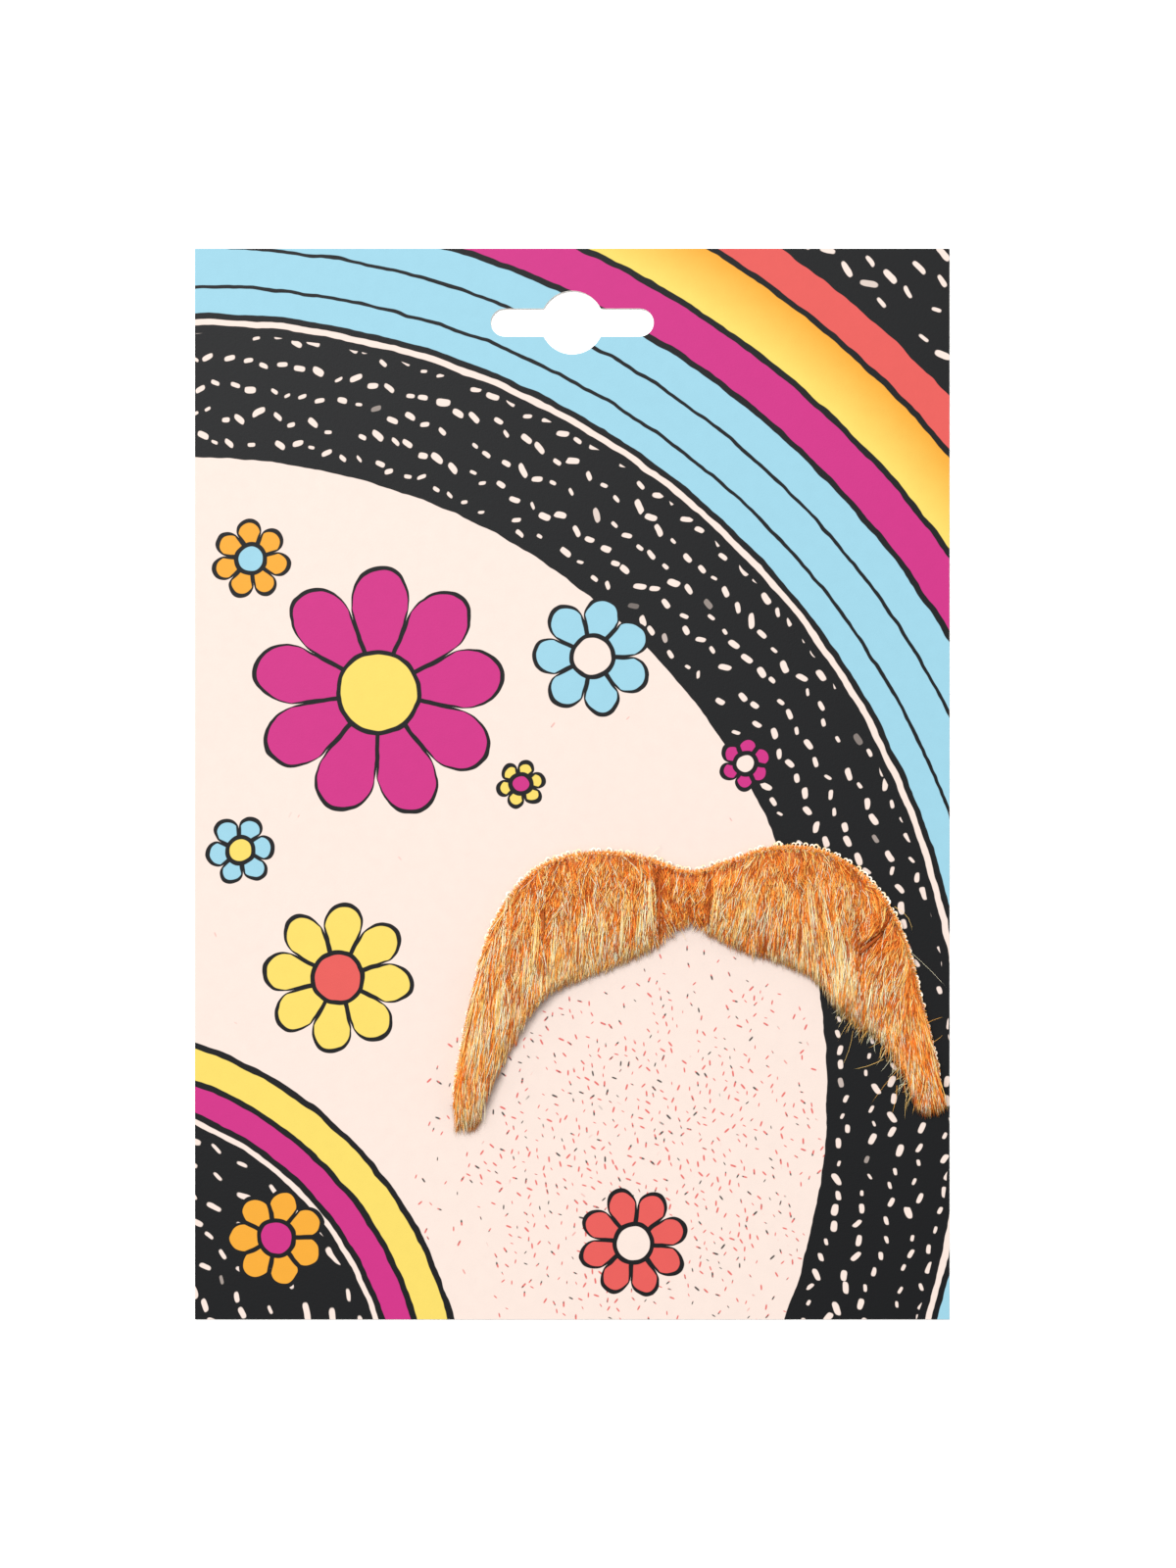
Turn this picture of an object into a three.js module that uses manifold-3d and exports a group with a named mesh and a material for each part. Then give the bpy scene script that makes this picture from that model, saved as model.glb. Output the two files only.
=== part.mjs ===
// A stick-on false moustache cut from long-pile fur cloth, on the hanging card that holds it.
// The card lies on its back, in millimetres: X runs across it, Y up it and Z out of its front.
// The origin is at the middle of the card's back.
import * as THREE from "three";
import Module from "manifold-3d";
import { mergeVertices } from "three/addons/utils/BufferGeometryUtils.js";

const wasm = await Module();
wasm.setup();

// The card and its hanging slot.
const cardWidth = 148;
const cardHeight = 210;
const cardThickness = 0.6;
const slotWidth = 32;
const slotHeight = 5.5;
const slotRoundDiameter = 12.5;
const slotDrop = 14.5; // from the card's top edge to the slot's middle line

// The moustache and where it is stuck.
const moustacheSpan = 98; // across its two arms, with their loose hair
const moustacheDrop = 57; // from its highest edge to its lowest tip
const moustacheRight = 23.4; // from the card's middle line to the moustache's
const moustacheLow = 117; // from the card's top edge to the moustache's highest edge

// The layers of the moustache, from the card up.
const adhesiveThickness = 0.4;
const clothThickness = 1;
const pileHeight = 4.2; // of the combed pile at its thickest, without the locks on it
const adhesiveInset = 1.2; // from the cloth's edge all round
const clothRim = 0.5; // bare cloth along the cut top edge
const layerGap = 0.3; // between the cloth's edge and the hair that hangs over it
const endShare = 0.03; // of the way along, by which the cloth stops short of the hair's tips
const hairOverhang = 3; // from the cloth's lower edge to where most hair ends
const pileOverhang = 1.6; // of the solid pile past the cloth's lower edge

// The locks of hair fused to the pile.
const lockLength = 17;
const lockShortest = 4.5;
const lockWidth = 4.6;
const lockThickness = 1.9;
const lockSpacing = 3.4; // between neighbours in a row
const lockStride = 6; // between neighbours where the hair runs along an arm
const lockRagged = 1.8; // how far a lock's tip may stop short of the hair's outline
const lockBreadth = 0.55; // widest lock, as a share of the moustache's width there
const lockClearance = 0.5; // least height of a hanging lock above the card
const hangLength = 6; // over which a lock's end sinks once it is past the pile

// One row for each section across the moustache, from the left arm's tip to the right arm's.
// X is a share of the span from the middle line, and Y a share of the drop from the highest edge.
// The pile is a share of its height, and comb is how far the hair lies from straight down, in
// degrees, turned towards the right.
const sections = [
  { outerX: -0.475, outerY: 0.955, innerX: -0.425, innerY: 0.975, pile: 0.45, comb: -2 },
  { outerX: -0.475, outerY: 0.83, innerX: -0.387, innerY: 0.84, pile: 0.7, comb: -4 },
  { outerX: -0.459, outerY: 0.67, innerX: -0.357, innerY: 0.69, pile: 0.8, comb: -5 },
  { outerX: -0.437, outerY: 0.5, innerX: -0.31, innerY: 0.594, pile: 0.85, comb: -6 },
  { outerX: -0.412, outerY: 0.33, innerX: -0.252, innerY: 0.496, pile: 0.9, comb: -6 },
  { outerX: -0.369, outerY: 0.18, innerX: -0.2, innerY: 0.44, pile: 0.95, comb: -6 },
  { outerX: -0.294, outerY: 0.06, innerX: -0.145, innerY: 0.403, pile: 1, comb: -4 },
  { outerX: -0.188, outerY: 0.02, innerX: -0.086, innerY: 0.36, pile: 1, comb: -4 },
  { outerX: -0.082, outerY: 0.044, innerX: -0.035, innerY: 0.312, pile: 0.95, comb: -5 },
  { outerX: -0.002, outerY: 0.088, innerX: 0.0, innerY: 0.29, pile: 0.85, comb: 0 },
  { outerX: 0.063, outerY: 0.057, innerX: 0.043, innerY: 0.314, pile: 0.95, comb: -9 },
  { outerX: 0.161, outerY: 0.003, innerX: 0.122, innerY: 0.372, pile: 1, comb: -4 },
  { outerX: 0.259, outerY: 0.014, innerX: 0.196, innerY: 0.41, pile: 1, comb: 2 },
  { outerX: 0.337, outerY: 0.088, innerX: 0.259, innerY: 0.475, pile: 0.95, comb: 5 },
  { outerX: 0.392, outerY: 0.195, innerX: 0.294, innerY: 0.558, pile: 0.95, comb: -12 },
  { outerX: 0.433, outerY: 0.343, innerX: 0.333, innerY: 0.616, pile: 0.95, comb: -18 },
  { outerX: 0.456, outerY: 0.505, innerX: 0.376, innerY: 0.673, pile: 0.9, comb: -3 },
  { outerX: 0.478, outerY: 0.657, innerX: 0.406, innerY: 0.76, pile: 0.8, comb: 6 },
  { outerX: 0.497, outerY: 0.808, innerX: 0.425, innerY: 0.848, pile: 0.7, comb: 7 },
  { outerX: 0.497, outerY: 0.905, innerX: 0.46, innerY: 0.935, pile: 0.45, comb: 3 },
];

// The partings where the pile falls open, each at a share of the way along the moustache.
const partings = [
  { along: 0.44, depth: 0.3, halfWidth: 0.012 },
  { along: 0.505, depth: 0.35, halfWidth: 0.012 },
  { along: 0.7, depth: 0.5, halfWidth: 0.016 },
];

// The rows of locks, from the top edge down. The root is a share of the way across the moustache,
// the length a share of a lock's, and the shift a share of the spacing.
const lockRows = [
  { root: 0, length: 0.7, shift: 0.2 },
  { root: 0.33, length: 0.85, shift: 0.75 },
  { root: 0.62, length: 1, shift: 0.4 },
];

// The form of a lock: the width as a share of its widest, and the rise of its middle above the
// combed surface as a share of its thickness.
const lockForm = [
  { share: 0, width: 0.45, rise: -0.8 },
  { share: 0.22, width: 0.85, rise: -0.2 },
  { share: 0.5, width: 1, rise: 0.05 },
  { share: 0.8, width: 0.66, rise: 0 },
  { share: 1, width: 0.14, rise: -0.25 },
];

const ribCount = 48; // sections along the lofted pile
const crownSteps = 7; // facets across it
const lockSides = 5;
const combSway = 5; // degrees by which neighbouring locks lie differently
const edgeShare = 0.42; // the pile's height at its edges, as a share of its height in the middle

const clothBottom = cardThickness + adhesiveThickness;
const pileBottom = clothBottom + clothThickness;

const placed = (shareX, shareY) =>
  new THREE.Vector3(
    moustacheRight + shareX * moustacheSpan,
    cardHeight / 2 - moustacheLow - shareY * moustacheDrop,
    0,
  );
const outerEdge = new THREE.CatmullRomCurve3(sections.map((s) => placed(s.outerX, s.outerY)));
const innerEdge = new THREE.CatmullRomCurve3(sections.map((s) => placed(s.innerX, s.innerY)));
const middleLine = new THREE.CatmullRomCurve3(
  sections.map((s) => placed((s.outerX + s.innerX) / 2, (s.outerY + s.innerY) / 2)),
);

// The value of a column of the sections at a share of the way along.
function columnAt(column, along) {
  const place = along * (sections.length - 1);
  const row = Math.min(Math.floor(place), sections.length - 2);
  return THREE.MathUtils.lerp(sections[row][column], sections[row + 1][column], place - row);
}

// The two ends of a section, each brought in from the outline by its own inset.
function rib(along, outerInset, innerInset) {
  const outer = outerEdge.getPoint(along);
  const inner = innerEdge.getPoint(along);
  const across = inner.clone().sub(outer).normalize();
  return {
    outer: outer.addScaledVector(across, outerInset),
    inner: inner.addScaledVector(across, -innerInset),
  };
}

const hairRib = (along) => rib(along, clothRim, hairOverhang - pileOverhang);

function partingShare(along) {
  return partings.reduce((share, p) => {
    const off = (along - p.along) / p.halfWidth;
    return share * (1 - p.depth * Math.exp(-off * off));
  }, 1);
}

// How high the pile stands above the cloth, at shares along and across the moustache.
function pileAt(along, across) {
  const crown = Math.pow(Math.sin(Math.PI * Math.pow(across, 0.85)), 0.7);
  const shape = edgeShare + (1 - edgeShare) * Math.max(crown, 0);
  return pileHeight * columnAt("pile", along) * partingShare(along) * shape;
}

// The flat outline of a layer, as a closed shape.
function outlineShape(outerInset, innerInset, endShare) {
  const outer = [];
  const inner = [];
  for (let i = 0; i <= ribCount; i += 1) {
    const along = THREE.MathUtils.lerp(endShare, 1 - endShare, i / ribCount);
    const ends = rib(along, outerInset, innerInset);
    outer.push(new THREE.Vector2(ends.outer.x, ends.outer.y));
    inner.unshift(new THREE.Vector2(ends.inner.x, ends.inner.y));
  }
  return new THREE.Shape([...outer, ...inner]);
}

// A closed skin over rings of points that all have the same number of sides.
function loft(rings) {
  const sides = rings[0].length;
  const positions = rings.flat().flatMap((p) => [p.x, p.y, p.z]);
  const index = [];
  for (let r = 0; r + 1 < rings.length; r += 1) {
    for (let s = 0; s < sides; s += 1) {
      const a = r * sides + s;
      const b = r * sides + ((s + 1) % sides);
      index.push(a, b, a + sides, b, b + sides, a + sides);
    }
  }
  const last = (rings.length - 1) * sides;
  for (let s = 1; s + 1 < sides; s += 1) {
    index.push(0, s + 1, s, last, last + s, last + s + 1);
  }
  const geometry = new THREE.BufferGeometry();
  geometry.setAttribute("position", new THREE.Float32BufferAttribute(positions, 3));
  geometry.setIndex(index);
  return geometry;
}

// The combed pile as one crowned body that lies flat on the cloth.
function pileBody() {
  const rings = [];
  for (let i = 0; i <= ribCount; i += 1) {
    const along = i / ribCount;
    const { outer, inner } = hairRib(along);
    const ring = [inner.clone().setZ(pileBottom), outer.clone().setZ(pileBottom)];
    for (let step = 0; step <= crownSteps; step += 1) {
      const across = step / crownSteps;
      const top = outer.clone().lerp(inner, across);
      ring.push(top.setZ(pileBottom + pileAt(along, across)));
    }
    rings.push(ring);
  }
  return loft(rings);
}

const sampleRibs = Array.from({ length: 4 * ribCount + 1 }, (_, i) => {
  const along = i / (4 * ribCount);
  return { along, ...hairRib(along) };
});

// The place of a point on the pile: its shares along and across, and how far outside it lies.
function placeOnPile(point) {
  let best = { miss: Infinity, along: 0, across: 0 };
  for (const { along, outer, inner } of sampleRibs) {
    const across = inner.clone().sub(outer);
    const share = point.clone().sub(outer).dot(across) / across.lengthSq();
    const held = THREE.MathUtils.clamp(share, 0, 1);
    const miss = outer.clone().addScaledVector(across, held).distanceTo(point);
    if (miss < best.miss) {
      best = { miss, along, across: held };
    }
  }
  return best;
}

// The height of the combed surface at any point, which sinks towards the card past the pile.
function surfaceAt(point) {
  const { miss, along, across } = placeOnPile(point);
  const top = pileBottom + pileAt(along, across);
  const lowest = cardThickness + lockClearance + lockThickness;
  const hung = Math.max(lowest, (cardThickness + top) / 2);
  return THREE.MathUtils.lerp(top, hung, THREE.MathUtils.smoothstep(miss, 0, hangLength));
}

// How far a lock can run from its root before its tip is past the hair's outline.
function roomAt(root, way, most) {
  const step = lockThickness / 4;
  let run = step;
  while (run < most && placeOnPile(root.clone().addScaledVector(way, run)).miss < pileOverhang) {
    run += step;
  }
  return run;
}

// The way the hair is combed at a share of the way along, turned by a few degrees.
function combedWay(along, turn) {
  const comb = THREE.MathUtils.degToRad(columnAt("comb", along) + turn);
  return new THREE.Vector3(Math.sin(comb), -Math.cos(comb), 0);
}

// Where a row's locks are rooted, as shares of the way along.
function lockPlaces(row) {
  const total = middleLine.getLength();
  const places = [];
  let gone = row.shift * lockSpacing;
  while (gone < total) {
    const along = middleLine.getUtoTmapping(gone / total);
    const aside = combedWay(along, 0).cross(middleLine.getTangent(along)).length();
    places.push(along);
    gone += lockSpacing / Math.max(aside, lockSpacing / lockStride);
  }
  return places;
}

// One tapered lock, from its root in the pile to its tip, or nothing where it has no room.
function lockBody(along, row, order) {
  const { outer, inner } = hairRib(along);
  const across = inner.clone().sub(outer);
  const most = Math.min(lockWidth, across.length() * lockBreadth);
  const way = combedWay(along, combSway * Math.sin(order * 2.4));
  const side = new THREE.Vector3(-way.y, way.x, 0);
  const inset = (most / 2) * Math.abs(side.dot(across.normalize()));
  const root = outer.addScaledVector(across, inset).lerp(inner.addScaledVector(across, -inset), row.root);
  const ragged = lockRagged * Math.abs(Math.sin(order * 1.7));
  const length = roomAt(root, way, row.length * lockLength) - ragged;
  if (length < lockShortest) {
    return null;
  }
  const rings = lockForm.map(({ share, width, rise }) => {
    const middle = root.clone().addScaledVector(way, length * share);
    middle.setZ(surfaceAt(middle) + rise * lockThickness);
    return Array.from({ length: lockSides }, (_, corner) => {
      const turn = 2 * Math.PI * ((corner + 0.25) / lockSides);
      const point = middle.clone().addScaledVector(side, (Math.cos(turn) * most * width) / 2);
      return point.setZ(middle.z + (Math.sin(turn) * lockThickness * width) / 2);
    });
  });
  return loft(rings);
}

// A closed geometry as a solid for joining, and a solid as a geometry.
function solidOf(geometry) {
  const bare = new THREE.BufferGeometry();
  bare.setAttribute("position", geometry.getAttribute("position"));
  bare.setIndex(geometry.getIndex());
  const merged = mergeVertices(bare, 1e-4);
  const mesh = new wasm.Mesh({
    numProp: 3,
    vertProperties: merged.attributes.position.array,
    triVerts: new Uint32Array(merged.index.array),
  });
  return new wasm.Manifold(mesh);
}

function geometryOf(solid) {
  const mesh = solid.getMesh();
  const geometry = new THREE.BufferGeometry();
  geometry.setAttribute("position", new THREE.BufferAttribute(mesh.vertProperties, 3));
  geometry.setIndex(new THREE.BufferAttribute(mesh.triVerts, 1));
  geometry.computeVertexNormals();
  return geometry;
}

function furGeometry() {
  const roots = lockRows.flatMap((row) => lockPlaces(row).map((along) => ({ along, row })));
  const locks = roots.map(({ along, row }, order) => lockBody(along, row, order));
  let fur = solidOf(pileBody());
  for (const lock of locks.filter((body) => body !== null)) {
    fur = fur.add(solidOf(lock));
  }
  const room = flatLayer(outlineShape(-layerGap, hairOverhang - layerGap, endShare / 2), pileBottom);
  fur = fur.subtract(solidOf(room));
  // The small voids that crossing locks shut in are filled.
  return geometryOf(fur.decompose().find((body) => body.volume() > 0));
}

function flatLayer(outline, thickness) {
  return new THREE.ExtrudeGeometry(outline, { depth: thickness, bevelEnabled: false, curveSegments: 8 });
}

// The hanging slot: a round-ended bar with a larger round at its middle.
function slotPath() {
  const end = slotHeight / 2;
  const round = slotRoundDiameter / 2;
  const meet = Math.asin(end / round);
  const reach = slotWidth / 2 - end;
  const y = cardHeight / 2 - slotDrop;
  const path = new THREE.Path();
  path.absarc(reach, y, end, -Math.PI / 2, Math.PI / 2, false);
  path.absarc(0, y, round, meet, Math.PI - meet, false);
  path.absarc(-reach, y, end, Math.PI / 2, 1.5 * Math.PI, false);
  path.absarc(0, y, round, Math.PI + meet, 2 * Math.PI - meet, false);
  path.closePath();
  return path;
}

function cardGeometry() {
  const outline = new THREE.Shape();
  outline.moveTo(-cardWidth / 2, -cardHeight / 2);
  outline.lineTo(cardWidth / 2, -cardHeight / 2);
  outline.lineTo(cardWidth / 2, cardHeight / 2);
  outline.lineTo(-cardWidth / 2, cardHeight / 2);
  outline.closePath();
  outline.holes.push(slotPath());
  return flatLayer(outline, cardThickness);
}

function piece(name, geometry, material, z = 0) {
  const mesh = new THREE.Mesh(geometry, material);
  mesh.name = name;
  mesh.position.z = z;
  return mesh;
}

const board = new THREE.MeshStandardMaterial({ color: 0xfdeade, roughness: 0.45, metalness: 0 });
const glue = new THREE.MeshStandardMaterial({ color: 0xf1ead8, roughness: 0.35, metalness: 0 });
const knit = new THREE.MeshStandardMaterial({ color: 0xf3e6cf, roughness: 0.9, metalness: 0 });
const ginger = new THREE.MeshStandardMaterial({ color: 0xd9924a, roughness: 0.6, metalness: 0 });

const adhesiveShape = outlineShape(adhesiveInset, hairOverhang + adhesiveInset, 1.6 * endShare);
const clothShape = outlineShape(0, hairOverhang, endShare);

const moustacheCard = new THREE.Group();
moustacheCard.add(
  piece("display_card", cardGeometry(), board),
  piece("adhesive_pad", flatLayer(adhesiveShape, adhesiveThickness), glue, cardThickness),
  piece("backing_cloth", flatLayer(clothShape, clothThickness), knit, clothBottom),
  piece("fur_pile", furGeometry(), ginger),
);

export default moustacheCard;
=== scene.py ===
"""Dresses a false moustache and the display card that it is stuck to.

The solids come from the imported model. This script adds the hair, the cut edge of the cloth, the
print and the finishes, and sets the stage. Lengths are in metres, in the card's own frame: X runs
across the card, Y up it and Z out of its front.
"""

import functools
import math

import bpy
import numpy as np
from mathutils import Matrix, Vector
from mathutils.bvhtree import BVHTree
from mathutils.kdtree import KDTree


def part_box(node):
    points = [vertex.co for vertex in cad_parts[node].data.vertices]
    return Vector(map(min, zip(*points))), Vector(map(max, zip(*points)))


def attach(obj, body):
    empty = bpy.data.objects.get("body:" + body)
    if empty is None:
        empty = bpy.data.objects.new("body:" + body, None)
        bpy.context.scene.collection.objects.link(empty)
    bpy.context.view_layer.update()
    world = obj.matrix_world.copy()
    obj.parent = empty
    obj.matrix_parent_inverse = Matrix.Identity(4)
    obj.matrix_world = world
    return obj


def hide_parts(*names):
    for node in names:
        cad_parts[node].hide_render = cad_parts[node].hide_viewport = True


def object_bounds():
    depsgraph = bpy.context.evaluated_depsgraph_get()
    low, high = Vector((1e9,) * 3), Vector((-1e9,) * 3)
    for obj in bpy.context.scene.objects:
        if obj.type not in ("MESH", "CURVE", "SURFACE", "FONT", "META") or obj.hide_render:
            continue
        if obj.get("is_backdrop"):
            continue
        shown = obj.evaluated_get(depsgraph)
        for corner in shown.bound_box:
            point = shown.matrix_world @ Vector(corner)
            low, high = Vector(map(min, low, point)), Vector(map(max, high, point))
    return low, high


bl_info = {
    "name": "Moustache on a Card",
    "version": (1, 0, 0),
    "blender": (4, 5, 0),
    "location": "View3D > Sidebar > Moustache",
    "description": "Dresses a false moustache and its display card with hair, cloth and print",
    "category": "Object",
}

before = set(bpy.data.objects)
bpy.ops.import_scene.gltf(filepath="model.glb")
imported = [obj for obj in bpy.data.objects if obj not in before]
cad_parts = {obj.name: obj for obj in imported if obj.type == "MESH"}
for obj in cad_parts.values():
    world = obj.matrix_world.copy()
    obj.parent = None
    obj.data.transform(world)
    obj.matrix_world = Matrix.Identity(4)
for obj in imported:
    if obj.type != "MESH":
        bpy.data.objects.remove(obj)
SOLID_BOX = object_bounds()

MM = 0.001
HAIR_MAP = "OFBake"
TONES = 64
SHADES = 8


def colour(red, green, blue):
    """A colour as it is picked from a screen, 0 to 255, in the linear light that shaders use."""
    parts = [value / 255 for value in (red, green, blue)]
    return tuple(p / 12.92 if p <= 0.04045 else ((p + 0.055) / 1.055) ** 2.4 for p in parts)


def table(columns, *rows):
    """A list of rows, each with its values under the names of the columns."""
    return [dict(zip(columns.split(), row)) for row in rows]


# The sizes and colours that a user would change.


def length_property(name, description, default):
    return bpy.props.FloatProperty(
        name=name, description=description, default=default, unit="LENGTH", subtype="DISTANCE", precision=5
    )


def colour_property(name, description, default):
    return bpy.props.FloatVectorProperty(
        name=name, description=description, default=default, subtype="COLOR", size=3, min=0.0, max=1.0
    )


class HairSettings(bpy.types.PropertyGroup):
    spacing: length_property("Spacing", "Distance between the roots of the hairs", 0.242 * MM)
    length: length_property("Length", "Length of a hair that lies flat", 11.5 * MM)
    thickness: length_property("Thickness", "Thickness of a hair at its root", 0.18 * MM)
    depth: length_property("Depth", "Depth of the loose hair over the matted pile", 1.2 * MM)
    strand: length_property("Strand", "Distance between the strands that hairs cling together in", 0.38 * MM)
    clump: length_property("Clump", "Distance between small clumps of hair", 1.3 * MM)
    lock: length_property("Lock", "Distance between the broad locks", 4.2 * MM)
    ragged: length_property("Ragged", "How unevenly the hair ends along its hem", 0.5 * MM)
    overhang: length_property("Overhang", "How far the hair hangs over the cloth's lower edge", 3.1 * MM)
    # The pile is coloured darker than the hair: painted shade for the depths of the fur.
    matted: colour_property("Matted pile", "Colour of the pile under the hair", colour(190, 104, 40))


class ClothSettings(bpy.types.PropertyGroup):
    loop_spacing: length_property("Loop spacing", "Distance between the loops of the cut edge", 0.95 * MM)
    loop_size: length_property("Loop size", "Length of one loop of the cut edge", 1.15 * MM)
    knit: colour_property("Knit", "Colour of the backing cloth", colour(244, 228, 200))
    glue: colour_property("Adhesive", "Colour of the adhesive", colour(240, 232, 214))


class PrintSettings(bpy.types.PropertyGroup):
    paper: colour_property("Paper", "Ground colour of the print", colour(203, 187, 178))
    ink: colour_property("Ink", "Outlines and the darkest bands", colour(7, 8, 10))
    sky: colour_property("Sky", "Blue of the print", colour(128, 172, 187))
    rose: colour_property("Rose", "Pink of the print", colour(169, 35, 108))
    sun: colour_property("Sun", "Yellow of the print", colour(202, 179, 84))
    amber: colour_property("Amber", "What the yellow deepens to", colour(200, 139, 40))
    red: colour_property("Red", "Red of the print", colour(188, 74, 70))
    board: colour_property("Board", "Plain board at the back and edges", colour(236, 231, 222))


class StageSettings(bpy.types.PropertyGroup):
    lens: bpy.props.FloatProperty(
        name="Lens", description="Focal length of the camera", default=100.0, min=1.0, unit="CAMERA"
    )
    view_height: length_property("View height", "Height of what the camera sees", 307.5 * MM)
    aside: length_property("Aside", "How far the camera stands right of the card's middle", 3.1 * MM)
    key_power: bpy.props.FloatProperty(
        name="Key", description="Power of the large soft light", default=110.0, min=0.0, unit="POWER"
    )
    fill: bpy.props.FloatProperty(
        name="Fill", description="Strength of the even light from all round", default=0.64, min=0.0
    )
    floor: colour_property("Floor", "Colour of the floor", colour(252, 252, 252))


# Shader maths. A Channel is an output socket, and arithmetic on it adds Math nodes.


class Channel:
    def __init__(self, finish, socket):
        self.finish = finish
        self.socket = socket

    def _math(self, operation, *values):
        inputs = dict(enumerate(values))
        return self.finish.node("ShaderNodeMath", inputs, {"operation": operation})

    def __add__(self, other):
        return self._math("ADD", self, other)

    def __sub__(self, other):
        return self._math("SUBTRACT", self, other)

    def __mul__(self, other):
        return self._math("MULTIPLY", self, other)

    def __truediv__(self, other):
        return self._math("DIVIDE", self, other)

    def __pow__(self, other):
        return self._math("POWER", self, other)

    def __rsub__(self, other):
        return self._math("SUBTRACT", other, self)

    def __abs__(self):
        return self._math("ABSOLUTE", self)

    __radd__ = __add__

    def least(self, other):
        return self._math("MINIMUM", self, other)

    def most(self, other):
        return self._math("MAXIMUM", self, other)

    def floor(self):
        return self._math("FLOOR", self)

    def fraction(self):
        return self._math("FRACT", self)

    def sine(self):
        return self._math("SINE", self)

    def bearing(self, other):
        return self._math("ARCTAN2", self, other)

    def over(self, edge, softness):
        """1 where this is over the edge and 0 where it is under it, with a soft step between."""
        raised = (self - (edge - softness / 2)) / softness
        return raised.most(0.0).least(1.0)


class Finish:
    """A material under construction."""

    def __init__(self, name):
        self.material = bpy.data.materials.new(name)
        self.material.use_nodes = True
        self.tree = self.material.node_tree
        self.tree.nodes.clear()

    def node(self, kind, inputs=None, settings=None, output=0):
        """Adds a node, sets it up, feeds its sockets and returns one of its outputs."""
        node = self.tree.nodes.new(kind)
        for key, value in (settings or {}).items():
            if key == "stops":
                self._set_stops(node.color_ramp, value)
            else:
                setattr(node, key, value)
        for key, value in (inputs or {}).items():
            socket = node.inputs[key]
            if isinstance(value, Channel):
                self.tree.links.new(value.socket, socket)
            elif isinstance(value, tuple) and socket.type == "RGBA":
                socket.default_value = (*value, 1.0)
            else:
                socket.default_value = value
        return Channel(self, node.outputs[output])

    @staticmethod
    def _set_stops(ramp, stops):
        while len(ramp.elements) < len(stops):
            ramp.elements.new(1.0)
        for element, (place, shade) in zip(ramp.elements, stops):
            element.position = place
            element.color = (*shade, 1.0)

    def place(self):
        """The point on the object, in metres, as a vector and as its three parts."""
        point = self.node("ShaderNodeTexCoord", output="Object")
        return point, *self.parts(point)

    def parts(self, vector):
        split = self.node("ShaderNodeSeparateXYZ", {0: vector})
        return [Channel(self, socket) for socket in split.socket.node.outputs]

    def noise(self, vector, size, detail=2.0, stretch=(1.0, 1.0, 1.0)):
        """Soft noise from 0 to 1, whose patches are about as wide as size."""
        scale = tuple(part / size for part in stretch)
        shifted = self.node("ShaderNodeMapping", {"Vector": vector, "Scale": scale})
        return self.node("ShaderNodeTexNoise", {"Vector": shifted, "Scale": 1.0, "Detail": detail})

    def mix(self, share, first, second):
        """A colour between two, as far along as share says."""
        inputs = {0: share, 6: first, 7: second}
        return self.node("ShaderNodeMix", inputs, {"data_type": "RGBA"}, output=2)

    def bump(self, height, depth):
        return self.node("ShaderNodeBump", {"Height": height, "Distance": depth})

    def surface(self, inputs):
        shaded = self.node("ShaderNodeBsdfPrincipled", inputs)
        end = self.tree.nodes.new("ShaderNodeOutputMaterial")
        self.tree.links.new(shaded.socket, end.inputs["Surface"])
        return self.material


# The print on the card: broad rings that sweep over it and round one corner, with flecks on the
# dark ones, then daisies, and fine dashes on the ground.

SWEEP = {
    "x": -74 * MM,
    "y": -60 * MM,
    "rings": [
        (124.0 * MM, "ink"),
        (150.0 * MM, "paper"),
        (151.2 * MM, "ink"),
        (152.4 * MM, "sky"),
        (157.2 * MM, "ink"),
        (157.9 * MM, "sky"),
        (165.0 * MM, "ink"),
        (165.7 * MM, "sky"),
        (172.0 * MM, "ink"),
        (173.2 * MM, "rose"),
        (181.0 * MM, "ink"),
        (182.2 * MM, "sun"),
        (193.0 * MM, "ink"),
        (194.2 * MM, "red"),
        (201.0 * MM, "ink"),
    ],
    "flecked": [(126.0 * MM, 148.4 * MM), (202.6 * MM, 260.0 * MM)],
}
CORNER = {
    "x": -98 * MM,
    "y": -124 * MM,
    "rings": [
        (0.0 * MM, "ink"),
        (62.0 * MM, "paper"),
        (63.0 * MM, "ink"),
        (64.2 * MM, "rose"),
        (69.0 * MM, "ink"),
        (70.2 * MM, "sun"),
        (76.0 * MM, "ink"),
        (77.2 * MM, None),
    ],
    "flecked": [(2.0 * MM, 60.4 * MM)],
}
# Where along its ring the yellow starts to deepen to amber.
DEEPENING = {"start": 183 * MM, "length": 10 * MM}
DAISIES = table(
    "x y reach petals turn petal eye",
    (-38 * MM, 18 * MM, 25 * MM, 9, 0.2, "rose", "sun"),
    (4 * MM, 25 * MM, 12 * MM, 7, 0.9, "sky", "paper"),
    (-46 * MM, -38 * MM, 15 * MM, 8, 0.5, "sun", "red"),
    (12 * MM, -90 * MM, 11 * MM, 8, 0.1, "red", "paper"),
    (-65 * MM, -13 * MM, 7 * MM, 6, 0.4, "sky", "sun"),
    (-58 * MM, -89 * MM, 10 * MM, 7, 0.0, "amber", "rose"),
    (-10 * MM, 0 * MM, 5 * MM, 6, 0.3, "sun", "rose"),
    (-63 * MM, 44 * MM, 8 * MM, 7, 0.6, "amber", "sky"),
    (34 * MM, 4 * MM, 5.5 * MM, 6, 0.1, "rose", "paper"),
)
FLECKS = {"cell": 5.2 * MM, "length": 1.9 * MM, "width": 0.68 * MM, "turn": 0.9}
DASHES = {"cell": 1.8 * MM, "length": 0.62 * MM, "width": 0.2 * MM, "turn": 2.2}
DASHED = {"x": 14 * MM, "y": -74 * MM, "reach": 34 * MM, "fading": 26 * MM}
WOBBLE = 1.1 * MM
LINE = 0.9 * MM
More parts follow.
